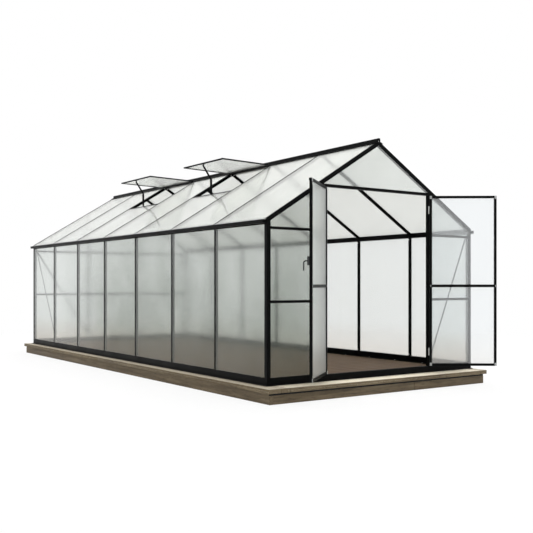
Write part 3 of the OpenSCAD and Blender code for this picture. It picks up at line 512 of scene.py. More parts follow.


# Weathered softwood: long grain, growth lines and small checks, with a painted highlight on top and painted shadow
# beside the walls.
def timber(name, grain, look):
    material, tree, shader, coordinates = newMaterial(name)
    where = coordinates["Object"]
    stretch = [1.0 if axis == grain else look["grainPull"] for axis in range(3)]
    pulled = addNode(tree, "Mapping", {"Vector": where, "Scale": stretch}).outputs[0]
    fibres = noise(tree, pulled, look["fibreScale"], 8.0, Roughness=0.65)
    bands = noise(tree, pulled, look["bandScale"], 4.0, Distortion=0.6)
    rings = addNode(tree, "TexWave", {"Vector": pulled, "Scale": look["ringScale"], "Distortion": 7.0,
        "Detail": 3.0, "Detail Scale": 0.8}, wave_type="RINGS", rings_direction="XYZ"[grain]).outputs["Fac"]
    tone = mixColours(tree, fromNoise(tree, bands, 0, 1), look["dark"], look["mid"])
    tone = mixColours(tree, remap(tree, rings, 0.2, 0.9, 0, 0.5), tone, look["light"])
    tone = mixColours(tree, remap(tree, fibres, 0.36, 0.46, 0.75, 0), tone, look["check"])
    # Painted highlight: upward faces turn lighter and warmer, as if lit from above.
    up = addNode(tree, "SeparateXYZ", {0: coordinates["Normal"]}).outputs["Z"]
    topHighlight = calculate(tree, "MULTIPLY", remap(tree, up, 0.4, 0.95, 0, look["topHighlight"]),
        remap(tree, fibres, 0.3, 0.6, 0.75, 1))
    tone = mixColours(tree, topHighlight, tone, look["highlightColour"])
    # Painted shadow: a darker band on the timber beside the walls' base rails.
    if look["wallShadow"]:
        split = addNode(tree, "SeparateXYZ", {0: where}).outputs
        past = [calculate(tree, "SUBTRACT", calculate(tree, "ABSOLUTE", split[axis]), wall)
            for axis, wall in (("X", wallX), ("Y", wallY))]
        wallShadow = remap(tree, calculate(tree, "MAXIMUM", *past), 0, look["wallShadowWide"], look["wallShadow"], 0)
        tone = mixColours(tree, wallShadow, tone, look["wallShadowColour"])
    rough = fromNoise(tree, fibres, look["rough"], look["rough"] + 0.2)
    feed(tree, shader, {"Base Color": tone, "Roughness": rough, "Specular IOR Level": look["gloss"]})
    relief = calculate(tree, "ADD", fibres, calculate(tree, "MULTIPLY", rings, 0.3))
    addBump(tree, shader, relief, look["relief"], 0.4)
    return material


cappingX = timber("weatheredCappingX", 0, cappingLook)
cappingY = timber("weatheredCappingY", 1, dict(cappingLook, topHighlight=0.5))
bearerX = timber("weatheredBearerX", 0, bearerLook)
bearerY = timber("weatheredBearerY", 1, bearerLook)
floorTimber = timber("floorTimber", 0, floorLook)

zincLook = {"colour": (0.88, 0.89, 0.88, 1), "shade": (0.70, 0.71, 0.70, 1), "rough": 0.42,
    "pull": (1, 1, 18), "brushScale": 120.0, "brushDeep": 0.00015, "cloudScale": 60.0}
cornerLook = dict(zincLook, colour=(0.40, 0.41, 0.41, 1), shade=(0.26, 0.27, 0.27, 1), rough=0.5)
# The end tapes' grey is partly painted shade at the roof sheets' lower ends.
shadedTapeLook = dict(cornerLook, colour=(0.42, 0.43, 0.43, 1), shade=(0.32, 0.33, 0.33, 1))


# Plated steel or aluminium: fine brushing and cloudy spangle.
def plated(name, look):
    material, tree, shader, coordinates = newMaterial(name)
    where = coordinates["Object"]
    pulled = addNode(tree, "Mapping", {"Vector": where, "Scale": look["pull"]}).outputs[0]
    brushing = noise(tree, pulled, look["brushScale"], 4.0)
    colour = mixColours(tree, noise(tree, where, look["cloudScale"]), look["shade"], look["colour"])
    rough = fromNoise(tree, brushing, look["rough"] - 0.08, look["rough"] + 0.12)
    feed(tree, shader, {"Base Color": colour, "Roughness": rough, "Metallic": 1.0})
    addBump(tree, shader, brushing, look["brushDeep"], 0.4)
    return material


zincSteel = plated("zincSteel", zincLook)
shadedEdgeTape = plated("shadedEdgeTape", shadedTapeLook)
cornerZinc = plated("cornerZinc", cornerLook)

finishes = {
    "frame_black": frameBlack,
    "hinge_steel": zincSteel,
    "handle_black": handleBlack,
    "deck_timber": bearerY,
    "floor_timber": floorTimber,
}
nodeFinishes = {                # nodes that differ from their slot's finish
    "left_door_corners": cornerZinc,
    "right_door_corners": cornerZinc,
    "vent_openers": frameBlack,
}
for entry in frame["record"]["subparts"]:
    node = entry["node"]
    if node in sheets:
        finish = twinWall("sheet_" + node, *sheets[node])
    else:
        finish = nodeFinishes.get(node) or finishes[entry["material_slot"]]
    for slot in nodes[node].material_slots:
        slot.material = finish

print("materials are set")

deck = {
    "gap": 0.004,
    "edge": 0.004,             # rounding of a board's edges
    "floorEdge": 0.0028,
    "outerRow": 0.150,         # width of the outer boards where the capping is two boards wide
    "innerLeast": 0.050,       # where the inner row would be narrower, the capping is one board wide
    "grooveHigh": 0.005,       # groove along the outer faces
    "grooveDeep": 0.004,
    "frontJoints": (-1.356, -0.992, 0.825),
    "innerJoint": 0.06,
    "sideJoint": 0.42,
    "boardPitch": 0.1393,
}
longLow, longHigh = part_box("deck_capping_long")
crossLow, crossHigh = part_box("deck_capping_cross")
floorLow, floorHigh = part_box("deck_floor")
bottom, top = longLow.z, longHigh.z
gap, outerRow = deck["gap"], deck["outerRow"]


# A capping board with rounded edges, and a groove along the face that looks outward.
def cappingBoard(low, high, outward):
    board = roundEdges(addBlock("cappingBoard", low, high), deck["edge"])
    if outward is None:
        return board
    middle = (low[2] + high[2]) / 2
    face = Vector([high[i] if outward[i] > 0 else low[i] for i in range(2)] + [middle])
    across = Vector([abs(part) for part in outward])
    along = Vector((across.y, across.x, 0))
    reach = along * beyond + across * deck["grooveDeep"] + Vector((0, 0, deck["grooveHigh"] / 2))
    return cutAway(board, face - reach, face + reach)


# Boards end to end along one axis, with gaps at the joints.
def boardRow(low, high, axis, splits, outward):
    ends = [low[axis], *splits, high[axis]]
    row = []
    for start, stop in zip(ends, ends[1:]):
        a, b = list(low), list(high)
        a[axis] = start + (gap / 2 if start != low[axis] else 0)
        b[axis] = stop - (gap / 2 if stop != high[axis] else 0)
        row.append(cappingBoard(a, b, outward))
    return row


# Joins boards to one timber piece that stands for a node of the deck.
def layTimber(name, boards, timberFinish, node):
    finishPiece(joinAll(name, boards), timberFinish, "house", stands=(node,))


sideBoards = []
for outerX, innerX, way in ((longLow.x, crossLow.x, -1), (longHigh.x, crossHigh.x, 1)):
    rows = [(outerX, innerX, deck["sideJoint"], (way, 0, 0))]
    if abs(innerX - outerX) > outerRow + deck["innerLeast"]:
        split = outerX - way * outerRow
        rows = [(outerX, split, deck["sideJoint"], (way, 0, 0)),
            (split - way * gap, innerX, -deck["sideJoint"], None)]
    for x0, x1, jointY, outward in rows:
        sideBoards += boardRow((min(x0, x1), longLow.y, bottom), (max(x0, x1), longHigh.y, top),
            1, (jointY,), outward)
layTimber("sideCappingBoards", sideBoards, cappingY, "deck_capping_long")

left, right = crossLow.x + gap / 2, crossHigh.x - gap / 2
frontSplit = crossLow.y + outerRow
endRows = [
    (crossLow.y, frontSplit, deck["frontJoints"], (0, -1, 0)),
    (frontSplit + gap, floorLow.y - gap / 2, (deck["innerJoint"],), None),
    (floorHigh.y + gap / 2, crossHigh.y, (deck["innerJoint"],), (0, 1, 0)),
]
endBoards = []
for y0, y1, splits, outward in endRows:
    endBoards += boardRow((left, y0, bottom), (right, y1, top), 0, splits, outward)
layTimber("endCappingBoards", endBoards, cappingX, "deck_capping_cross")

bearer = {"rebateDeep": 0.014, "rebateHigh": 0.021, "arris": 0.005, "edge": 0.003, "frontJoint": 0.35}
longBeamLow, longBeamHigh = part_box("deck_bearers_long")
crossBeamLow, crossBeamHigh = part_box("deck_bearers_cross")
beamWide = crossBeamLow.x - longBeamLow.x
beamTop = longBeamHigh.z
rebateZ = beamTop - bearer["rebateHigh"]
longBeams, crossBeams = [], []
for low, high, way in (
        (longBeamLow, Vector((crossBeamLow.x, longBeamHigh.y, beamTop)), -1),
        (Vector((crossBeamHigh.x, longBeamLow.y, 0)), longBeamHigh, 1)):
    beam = roundEdges(addBlock("longBearer", low, high), bearer["edge"])
    outer = low.x if way < 0 else high.x
    trimAt(beam, (outer, 0, beamTop - bearer["arris"]), (way, 0, 1))
    for y in (low.y, high.y):
        cutAway(beam, (-beyond, y - bearer["rebateDeep"], rebateZ),
            (beyond, y + bearer["rebateDeep"], beyond))
    longBeams.append(beam)
for y0, way in ((crossBeamLow.y, 1), (crossBeamHigh.y, -1)):
    y1 = y0 + way * beamWide
    for x0, x1 in ((crossBeamLow.x, bearer["frontJoint"] - gap / 2),
            (bearer["frontJoint"] + gap / 2, crossBeamHigh.x)):
        beam = addBlock("crossBearer", (x0, min(y0, y1), 0), (x1, max(y0, y1), beamTop))
        roundEdges(beam, bearer["edge"])
        crossBeams.append(cutAway(beam, (-beyond, y0 - bearer["rebateDeep"], rebateZ),
            (beyond, y0 + bearer["rebateDeep"], beyond)))
layTimber("longBearers", longBeams, bearerY, "deck_bearers_long")
layTimber("crossBearers", crossBeams, bearerX, "deck_bearers_cross")

# Black packing strips in the rebates under the end capping, whose black is painted shadow for the dark line under
# the capping.
shadowPacking = {"setBack": 0.002, "fit": 0.0003, "edge": 0.001}
strips = []
for y0, way in ((longBeamLow.y, 1), (longBeamHigh.y, -1)):
    near, far = sorted((y0 + way * shadowPacking["setBack"], y0 + way * (bearer["rebateDeep"] - shadowPacking["fit"])))
    strip = addBlock("shadowPackingStrip", (longBeamLow.x + shadowPacking["setBack"], near, rebateZ + shadowPacking["fit"]),
        (longBeamHigh.x - shadowPacking["setBack"], far, beamTop - shadowPacking["fit"]))
    strips.append(roundEdges(strip, shadowPacking["edge"], 1))
finishPiece(joinAll("shadowPackingStrips", strips), blackRubber, "house")

floorCount = round((floorHigh.y - floorLow.y) / deck["boardPitch"])
floorPitch = (floorHigh.y - floorLow.y) / floorCount
board = addBlock("floorBoard", (floorLow.x + gap / 2, 0, floorLow.z),
    (floorHigh.x - gap / 2, floorPitch - gap, floorHigh.z))
roundEdges(board, deck["floorEdge"])
spots = [Matrix.Translation((0, floorLow.y + gap / 2 + i * floorPitch, 0)) for i in range(floorCount)]
layTimber("floorBoards", [repeat(board, "floorBoards", spots)], floorTimber, "deck_floor")

print("deck boards are laid")

# Shares of a head's radius, or for the dome, the recess's depth and the hexagon's dome, of its rise.
headShape = {"rim": 0.28, "dome": 0.35, "recessLong": 0.5, "recessWide": 0.125, "recessDeep": 0.6,
    "hexRim": 0.14, "hexDome": 0.12}
washerShape = {"thick": 0.0012, "edge": 0.0003, "headFrom": 0.001}


# A screw with a domed rim and a cross recess.
def panHeadScrew(radius, rise):
    screw = drawIn(addDisc("panHead", radius, rise), (0, 0, 1), radius * headShape["rim"],
        rise * headShape["dome"])
    long, wide = radius * headShape["recessLong"], radius * headShape["recessWide"]
    low = screw.dimensions.z - rise * headShape["recessDeep"]
    cutAway(screw, (-long, -wide, low), (long, wide, beyond))
    return cutAway(screw, (-wide, -long, low), (wide, long, beyond))


# A hexagon bolt head on a round washer.
def hexBolt(radius, rise, washer):
    head = drawIn(addDisc("boltHead", radius, rise, 6), (0, 0, 1), radius * headShape["hexRim"],
        rise * headShape["hexDome"])
    head.data.transform(Matrix.Translation((0, 0, washerShape["headFrom"])))
    ring = roundEdges(addDisc("washer", washer, washerShape["thick"]), washerShape["edge"], 1)
    return joinAll("hexBolt", [head, ring])


# Puts a screw or a bolt at each of its places; size is its radius, rise and any washer's radius.
def fitHeads(name, size, places, body="house"):
    model = panHeadScrew(*size) if len(size) == 2 else hexBolt(*size)
    finishPiece(repeat(model, name, places), zincSteel, body)


deckScrew = {"size": (0.0042, 0.0014), "sink": 0.0008, "edgeIn": 0.028, "sideIn": 0.06, "sideCount": 13,
    "endIn": 0.05, "endCount": 7, "turn": 0.7}
screwIn = deckScrew["edgeIn"]
screwPoints = []
for x in (longLow.x + screwIn, longLow.x + outerRow - screwIn, longHigh.x - screwIn, crossHigh.x + screwIn):
    for i in range(deckScrew["sideCount"]):
        step = (longHigh.y - longLow.y - 2 * deckScrew["sideIn"]) / (deckScrew["sideCount"] - 1)
        screwPoints.append((x, longLow.y + deckScrew["sideIn"] + i * step, top - deckScrew["sink"]))
for y in (crossLow.y + screwIn, frontSplit - screwIn, frontSplit + gap + screwIn,
        crossHigh.y - screwIn, floorHigh.y + screwIn + gap):
    for i in range(deckScrew["endCount"]):
        step = (right - left - 2 * deckScrew["endIn"]) / (deckScrew["endCount"] - 1)
        screwPoints.append((left + deckScrew["endIn"] + i * step, y, top - deckScrew["sink"]))
fitHeads("deckScrews", deckScrew["size"],
    [facing(point, (0, 0, 1), deckScrew["turn"] * i) for i, point in enumerate(screwPoints)])

bolts = {"size": (0.0058, 0.0042, 0.0078), "endIn": 0.022, "slopeAlong": (0.075, 1.60), "braceIn": 0.03,
    "braceThick": 0.003, "braceBar": 6, "braceEdge": 0.008, "turn": 0.3}
boltPlaces = []
barInner = wallX - house["barDepth"]
for side in (-1, 1):
    for k in bays[:-1]:
        for z in (railTop + bolts["endIn"], beamFoot - bolts["endIn"]):
            boltPlaces.append(((side * barInner, barY(k), z), (-side, 0, 0)))
        for along in bolts["slopeAlong"]:
            boltPlaces.append((slopePoint(along, -house["rafterDeep"], barY(k), side), -slopeNormal(side)))


# Bolt places near both ends of a flat brace, whose ends are given in its own plane.
def braceBolts(start, stop, inward):
    start, stop = Vector(start), Vector(stop)
    step = (stop - start).normalized() * bolts["braceIn"]
    face = Vector(inward) * bolts["braceThick"]
    return [(start + step + face, inward), (stop - step + face, inward)]


braceX, braceY = wallX - house["barDepth"], wallY - house["barDepth"]
innerX, innerY = wallX - house["postWide"], wallY - house["postWide"]
braceTop = house["upperRailZ"] + bolts["braceEdge"]
doorEdge = house["doorHalf"] + house["doorPost"]
for side in (-1, 1):
    boltPlaces += braceBolts((side * braceX, barY(bolts["braceBar"]) - bolts["braceEdge"], railTop),
        (side * braceX, innerY, beamFoot), (-side, 0, 0))
    boltPlaces += braceBolts((side * (house["rearPostX"] - bolts["braceEdge"]), braceY, railTop),
        (side * innerX, braceY, braceTop), (0, -1, 0))
boltPlaces += braceBolts((doorEdge, -braceY, railTop), (innerX, -braceY, braceTop), (0, 1, 0))
fitHeads("frameBolts", bolts["size"],
    [facing(point, direction, bolts["turn"] * i) for i, (point, direction) in enumerate(boltPlaces)])

footScrew = {"size": (0.0048, 0.0030, 0.0064), "footIn": 0.0515, "footHigh": 0.008, "pitch": 0.5,
    "sideCount": 14, "rearCount": 6, "rearFrom": -1.25, "frontX": (-1.30, -0.90, 0.90, 1.30), "turn": 0.4}
footX, footY = wallX - footScrew["footIn"], wallY - footScrew["footIn"]
footZ = deckTop + footScrew["footHigh"]
footSpots = [(side * footX, -wallY + (i + 0.5) * footScrew["pitch"], footZ)
    for side in (-1, 1) for i in range(footScrew["sideCount"])]
footSpots += [(footScrew["rearFrom"] + i * footScrew["pitch"], footY, footZ)
    for i in range(footScrew["rearCount"])]
footSpots += [(x, -footY, footZ) for x in footScrew["frontX"]]
fitHeads("railFootScrews", footScrew["size"],
    [facing(point, (0, 0, 1), footScrew["turn"] * i) for i, point in enumerate(footSpots)])

print("deck screws, frame bolts and foot screws are in")


# A strip of length one along X, wide to +Y and rising to +Z, with its rim drawn in.
def unitStrip(name, wide, rise):
    return drawIn(addBlock(name, (0, 0, 0), (1, wide, rise)), (0, 0, 1), wide / 4, 0)


# Lays a unit strip from one point to the next, rising along a direction.
def stripPlace(start, stop, outward):
    start, run, up = Vector(start), Vector(stop) - Vector(start), Vector(outward).normalized()
    along = run.normalized()
    across = up.cross(along)
    turn = Matrix((along, across, up)).transposed().to_4x4()
    return Matrix.Translation(start) @ turn @ Matrix.Scale(run.length, 4, (1, 0, 0))


glazingSeal = {"wide": 0.0022, "rise": 0.0014}


# Lays the strips of a glazing seal at their places on a body.
def laySeals(name, places, body="house"):
    finishPiece(repeat(unitStrip("sealStrip", glazingSeal["wide"], glazingSeal["rise"]), name, places),
        blackRubber, body)


# Strips round the inside of a pane, whose corners run anticlockwise as seen from outside.
def paneRing(corners, outward):
    ring = []
    points = [Vector(p) for p in corners]
    for a, b in zip(points, points[1:] + points[:1]):
        start = a + (b - a).normalized() * glazingSeal["wide"]
        ring.append(stripPlace(start, b, outward))
    return ring


wallSheetX, gableSheetY = wallX - house["sheetOut"], wallY - house["sheetOut"]
cover = house["coverHalf"]
ringPlaces = []
for side in (-1, 1):
    for k in bays:
        y0, y1 = bayEnds(k, cover, house["postWide"])
        x = side * wallSheetX
        ring = [(x, y0, railTop), (x, y1, railTop), (x, y1, beamFoot), (x, y0, beamFoot)]
        ringPlaces += paneRing(ring if side > 0 else ring[::-1], (side, 0, 0))


# Rings round a gable's panes between two uprights; end is -1 at the front and 1 at the rear.
def gableRings(x0, x1, end):
    low, mid, high = railTop, house["midRailZ"], house["upperRailZ"]
    rings = []
    for z0, z1 in ((low, mid - cover), (mid + cover, high - cover), (high + cover, None)):
        top0, top1 = (z1, z1) if z1 else (rafterZ(x0), rafterZ(x1))
        y = end * gableSheetY
        ring = [(x0, y, z0), (x1, y, z0), (x1, y, top1)]
        if z1 is None and x0 * x1 < 0:
            ring.append((0, y, rafterZ(0)))
        ring.append((x0, y, top0))
        rings += paneRing(ring if end < 0 else ring[::-1], (0, end, 0))
    return rings


rearEdge = house["rearPostX"] + cover
ringPlaces += gableRings(-innerX, -doorEdge, -1) + gableRings(doorEdge, innerX, -1)
ringPlaces += gableRings(-innerX, -rearEdge, 1) + gableRings(rearEdge, innerX, 1)
ringPlaces += gableRings(-rearEdge + 2 * cover, rearEdge - 2 * cover, 1)
doorHalf = house["doorHalf"]
ringPlaces += paneRing([(-doorHalf, -gableSheetY, headTop), (doorHalf, -gableSheetY, headTop),
    (doorHalf, -gableSheetY, rafterZ(doorHalf)), (0, -gableSheetY, rafterZ(0)),
    (-doorHalf, -gableSheetY, rafterZ(doorHalf))], (0, -1, 0))

roofSeal = {"sheetTop": 0.0062, "capHalf": 0.006, "endCover": 0.022, "low": -0.0176, "high": 1.676,
    "sillClear": 0.004}
ventBays = (bays[2], bays[-3])
sillAlong = (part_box("vent_sills")[0].x + wallX) / slopeUp.x - roofSeal["sillClear"]
for side in (-1, 1):
    for k in bays:
        y0, y1 = bayEnds(k, roofSeal["capHalf"], roofSeal["endCover"])
        high = sillAlong if side < 0 and k in ventBays else roofSeal["high"]
        ends = [slopePoint(s, roofSeal["sheetTop"], y, side) for s, y in
            ((roofSeal["low"], y0), (high, y0), (high, y1), (roofSeal["low"], y1))]
        ringPlaces += paneRing(ends if side < 0 else ends[::-1], slopeNormal(side))[:3]   # none at the eaves
laySeals("glazingSeals", ringPlaces)

# A black strip round the walls' foot on the deck, partly a rubber seal and partly painted contact shadow under the
# base rails.
footSeal = {"wide": 0.015, "rise": 0.007, "edge": 0.0015}
ringX, ringY = wallX + footSeal["wide"], wallY + footSeal["wide"]
sealRuns = [
    ((ringX, ringY, deckTop), (-ringX, ringY, deckTop)),
    ((-ringX, wallY, deckTop), (-ringX, -ringY, deckTop)),
    ((-wallX, -ringY, deckTop), (-doorHalf, -ringY, deckTop)),
    ((doorHalf, -ringY, deckTop), (ringX, -ringY, deckTop)),
    ((ringX, -wallY, deckTop), (ringX, wallY, deckTop)),
]
strip = roundEdges(addBlock("footSeal", (0, 0, 0), (1, footSeal["wide"], footSeal["rise"])),
    footSeal["edge"], 1)
places = [stripPlace(start, stop, (0, 0, 1)) for start, stop in sealRuns]
finishPiece(repeat(strip, "railFootSealAndShade", places), blackRubber, "house")

ribs = {"wide": 0.003, "rise": 0.0008, "endIn": 0.005, "backs": (0.010, 0.018, 0.026, 0.034)}
ribZ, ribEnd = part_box("door_threshold")[1].z, doorHalf - ribs["endIn"]
places = [stripPlace((-ribEnd, -wallY + back, ribZ), (ribEnd, -wallY + back, ribZ), (0, 0, 1))
    for back in ribs["backs"]]
finishPiece(repeat(unitStrip("thresholdRib", ribs["wide"], ribs["rise"]), "thresholdRibs", places),
    frameBlack, "house")

print("glazing seals, foot seal and threshold ribs are laid")

# A folded tape over the lower end of each roof sheet, open up the slope, partly a real end tape and partly painted
# shade: its grey stands in for the shade at the sheets' lower ends.
tape = {"wall": 0.0009, "low": -0.0186, "deep": 0.013, "sheetLow": -0.0001, "sheetHigh": 0.0065,
    "barClear": 0.0135, "endClear": 0.0445}
tapes = []
for side in (-1, 1):
    for k in bays:
        y0, y1 = bayEnds(k, tape["barClear"], tape["endClear"])
        fold = addBlock("shadedEdgeTape", (tape["low"], y0, tape["sheetLow"] - tape["wall"]),
            (tape["low"] + tape["deep"], y1, tape["sheetHigh"] + tape["wall"]))
        cutAway(fold, (tape["low"] + tape["wall"], -beyond, tape["sheetLow"]),
            (beyond, beyond, tape["sheetHigh"]))
        slope = Matrix((slopeUp, (0, 1, 0), leftSlope)).transposed().to_4x4()
        fold.data.transform(Matrix.Translation((-wallX, 0, eavesZ)) @ slope)
        if side > 0:
            fold.data.transform(Matrix.Rotation(math.pi, 4, "Z"))
        tapes.append(fold)
finishPiece(joinAll("sheetEndTapes", tapes), shadedEdgeTape, "house")

# The ridge bar again with a shallower stem, and a plate across the stem at each pair of roof bars.
ridge = {
    "stemRise": 0.032,
    "stemBelow": 0.045,        # what lies deeper than this under the apex is the stem
    "plateHalf": 0.040,
    "plateHigh": 0.026,
    "plateDrop": 0.046,
    "plateThick": 0.003,
    "plateBack": 0.004,        # from a bar's middle to the plate's rear face
    "plateTopIn": 0.006,       # from the sheets' underside to the plate's sloping top
    "plateFootIn": 0.032,
    "plateFootX": 0.014,
    "boltSize": (0.0045, 0.003, 0.0062),
    "boltReach": 0.024,
    "boltIn": 0.018,
}
ridgeLow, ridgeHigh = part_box("ridge_bar")
slopeLength = wallX / slopeUp.x
apexZ = eavesZ + wallX * math.tan(roofPitch)
ridgeBar = nodes["ridge_bar"].copy()
ridgeBar.data = nodes["ridge_bar"].data.copy()
ridgeBar.name = "ridgeBar"
bpy.context.scene.collection.objects.link(ridgeBar)
editPiece(ridgeBar, "VERT")
bpy.ops.mesh.remove_doubles(threshold=1e-5)
bpy.ops.object.mode_set(mode="OBJECT")
editPiece(ridgeBar, "VERT", lambda corner: corner.co.z < apexZ - ridge["stemBelow"])
bpy.ops.transform.translate(value=(0, 0, ridge["stemRise"]))
bpy.ops.object.mode_set(mode="OBJECT")
finishPiece(ridgeBar, frameBlack, "house", stands=("ridge_bar",))
plates, plateBolts = [], []
for k in bays[:-1]:
    y = barY(k) - ridge["plateBack"]
    plate = addBlock("ridgePlate",
        (-ridge["plateHalf"], y - ridge["plateThick"], apexZ - ridge["plateDrop"]),
        (ridge["plateHalf"], y, apexZ - ridge["plateDrop"] + ridge["plateHigh"]))
    for side in (-1, 1):
        trimAt(plate, slopePoint(slopeLength, -ridge["plateTopIn"], 0), slopeNormal(side))
        trimAt(plate, slopePoint(slopeLength, -ridge["plateFootIn"], 0)
            + Vector((side * ridge["plateFootX"], 0, 0)), (side * 0.5, 0, -1))
    plates.append(plate)
    for x in (-ridge["boltReach"], ridge["boltReach"]):
        spot = slopePoint((wallX - abs(x)) / slopeUp.x, -ridge["boltIn"], y - ridge["plateThick"])
        plateBolts.append(facing((x, spot.y, spot.z), (0, -1, 0)))
finishPiece(joinAll("ridgePlates", plates), frameBlack, "house")
fitHeads("ridgeBolts", ridge["boltSize"], plateBolts)

# End plates on the ridge cap, each a low plate under the wings and a small one on the crown.
ridgeEnd = {
    "thick": 0.0014,
    "wingOut": 0.0124,         # from the sheets' underside to the wings' top
    "wingHalf": 0.050,
    "wingDrop": 0.030,
    "crownHalf": 0.014,
    "crownFoot": 0.004,
    "crownCorner": 0.004,
    "crownProud": 0.0001,
    "clear": 0.0006,           # below the bar's own edges
    "screwSize": (0.0034, 0.0016),
    "screwX": 0.014,
    "screwDrop": 0.014,
}
wingZ = apexZ + ridgeEnd["wingOut"] / slopeUp.x - ridgeEnd["clear"]
capEnds, endScrews = [], []
for way, faceY in ((-1, ridgeLow.y), (1, ridgeHigh.y)):
    y0, y1 = sorted((faceY, faceY + way * ridgeEnd["thick"]))
    wing = addBlock("ridgeWing", (-ridgeEnd["wingHalf"], y0, wingZ - ridgeEnd["wingDrop"]),
        (ridgeEnd["wingHalf"], y1, ridgeHigh.z))
    crown = addBlock("ridgeCrown",
        (-ridgeEnd["crownHalf"], y0 + ridgeEnd["crownProud"], wingZ - ridgeEnd["crownFoot"]),
        (ridgeEnd["crownHalf"], y1 + ridgeEnd["crownProud"] * way, ridgeHigh.z - ridgeEnd["clear"]))
    for side in (-1, 1):
        trimAt(wing, (0, 0, wingZ), slopeNormal(side))
        crownX = side * (ridgeEnd["crownHalf"] - ridgeEnd["crownCorner"])
        trimAt(crown, (crownX, 0, ridgeHigh.z), (side, 0, 1))
        endScrews.append(facing((side * ridgeEnd["screwX"], faceY + way * ridgeEnd["thick"],
            wingZ - ridgeEnd["screwDrop"]), (0, way, 0)))
    capEnds += [wing, crown]
finishPiece(joinAll("ridgeEndPlates", capEnds), frameBlack, "house")
fitHeads("ridgeEndScrews", ridgeEnd["screwSize"], endScrews)

# Places on a lifted vent: X up the sash from its hinge line, Z away from the roof.
vent = {
    "hingeAlong": 1.68362,     # hinge line, up the slope and out from the sheets' underside
    "hingeOut": 0.0136,
    "reach": 0.72,             # from the hinge line to the sash's free edge
    "barWide": 0.022,
    "sheetLow": 0.0038,
    "sheetHigh": 0.0098,
    "topGap": 0.0054,
    "sideGap": 0.002,
    "plateAt": -0.7036,
    "plateOut": -0.0042,
    "screwSize": (0.0036, 0.0018),
    "screwReach": 0.018,
    "screwTurn": 40,
}
ventNormal = widestFace("vent_sheets", (0, 0, 1))
ventUp = Vector((ventNormal.z, 0, -ventNormal.x))
hingeSpot = slopePoint(vent["hingeAlong"], vent["hingeOut"], 0)


def sashPoint(along, out, y):
    return hingeSpot + ventUp * along + ventNormal * out + Vector((0, y, 0))


# A tube round each link of a vent opener, between its pins; places are X and Z.
opener = {
    "foot": (-0.6409, 2.3583),
    "elbow": (-0.6409, 2.5282),
    "top": (-0.7589, 2.6992),
    "lowerRadius": 0.0150,
    "upperRadius": 0.0120,
    "endIn": 0.019,
    "edge": 0.002,
    "collarRise": 0.0015,
    "collarLong": 0.010,
    "collarIn": 0.004,
    "collarEdge": 0.001,
    "sides": 24,
}
openerTubes = []
for k in ventBays:
    middle = (barY(k - 1) + barY(k)) / 2
    for a, b, radius in (("foot", "elbow", opener["lowerRadius"]), ("elbow", "top", opener["upperRadius"])):
        start, stop = (Vector((opener[end][0], middle, opener[end][1])) for end in (a, b))
        run = (stop - start).normalized()
        start, stop = start + run * opener["endIn"], stop - run * opener["endIn"]
        tube = addDisc("openerTube", radius, (stop - start).length, opener["sides"])
        roundEdges(tube, opener["edge"], 1).data.transform(facing(start, run))
        collar = addDisc("collar", radius + opener["collarRise"], opener["collarLong"], opener["sides"])
        collarFoot = stop - run * (opener["collarLong"] + opener["collarIn"])
        roundEdges(collar, opener["collarEdge"], 1).data.transform(facing(collarFoot, run))
        openerTubes += [tube, collar]
finishPiece(joinAll("openerTubes", openerTubes), frameBlack, "house")

ventRings, ventScrews = [], []
for k in ventBays:
    y0 = barY(k - 1) + vent["sideGap"] + vent["barWide"]
    y1 = barY(k) - vent["sideGap"] - vent["barWide"]
    s0, s1 = vent["barWide"] - vent["reach"], -vent["topGap"] - vent["barWide"]
    for out, up in ((vent["sheetHigh"], 1), (vent["sheetLow"], -1)):
        ring = [sashPoint(s, out, y) for s, y in ((s0, y0), (s1, y0), (s1, y1), (s0, y1))]
        ventRings += paneRing(ring if up > 0 else ring[::-1], ventNormal * up)
    middle = (barY(k - 1) + barY(k)) / 2
    for step in (-vent["screwReach"], vent["screwReach"]):
        spot = sashPoint(vent["plateAt"], vent["plateOut"], middle + step)
        ventScrews.append(facing(spot, -ventNormal, step * vent["screwTurn"]))
laySeals("ventSeals", ventRings)
fitHeads("ventScrews", vent["screwSize"], ventScrews)

print("sheet ends, ridge ends and vents are finished")

leafFoot, leafHead = (corner.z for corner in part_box("left_door_stiles"))
leaf = {
    "out": 0.008,              # setback of a leaf's outer face from the hinge line
    "thick": 0.025,
    "bar": 0.026,
    "start": 0.0035,
    "wide": 0.7595,
    "railZ": 1.145,            # middle of the middle rail
    "sheetOut": 0.0175,
    "sheetIn": 0.0235,
    "hingeAt": 0.160,
    "plateSteps": (0.011, 0.030),
    "plateAcross": 0.0165,
    "plateFace": 0.005,
    "cornerThick": 0.0025,
    "screwSize": (0.0038, 0.0018),
    "cornerScrews": (0.009, 0.027),
    "railScrews": 0.006,
    "postTurn": 90,            # turn of a screw's recess with its place, so that they don't all match
    "hingeTurn": 70,
    "frameTurn": 50,
}
innerFace = leaf["out"] + leaf["thick"]
railAt, tall = leaf["railZ"] - leafFoot, leafHead - leafFoot
closing = {"deep": 0.003, "sideIn": 0.001, "endIn": 0.062, "edge": 0.001}
postScrews = []
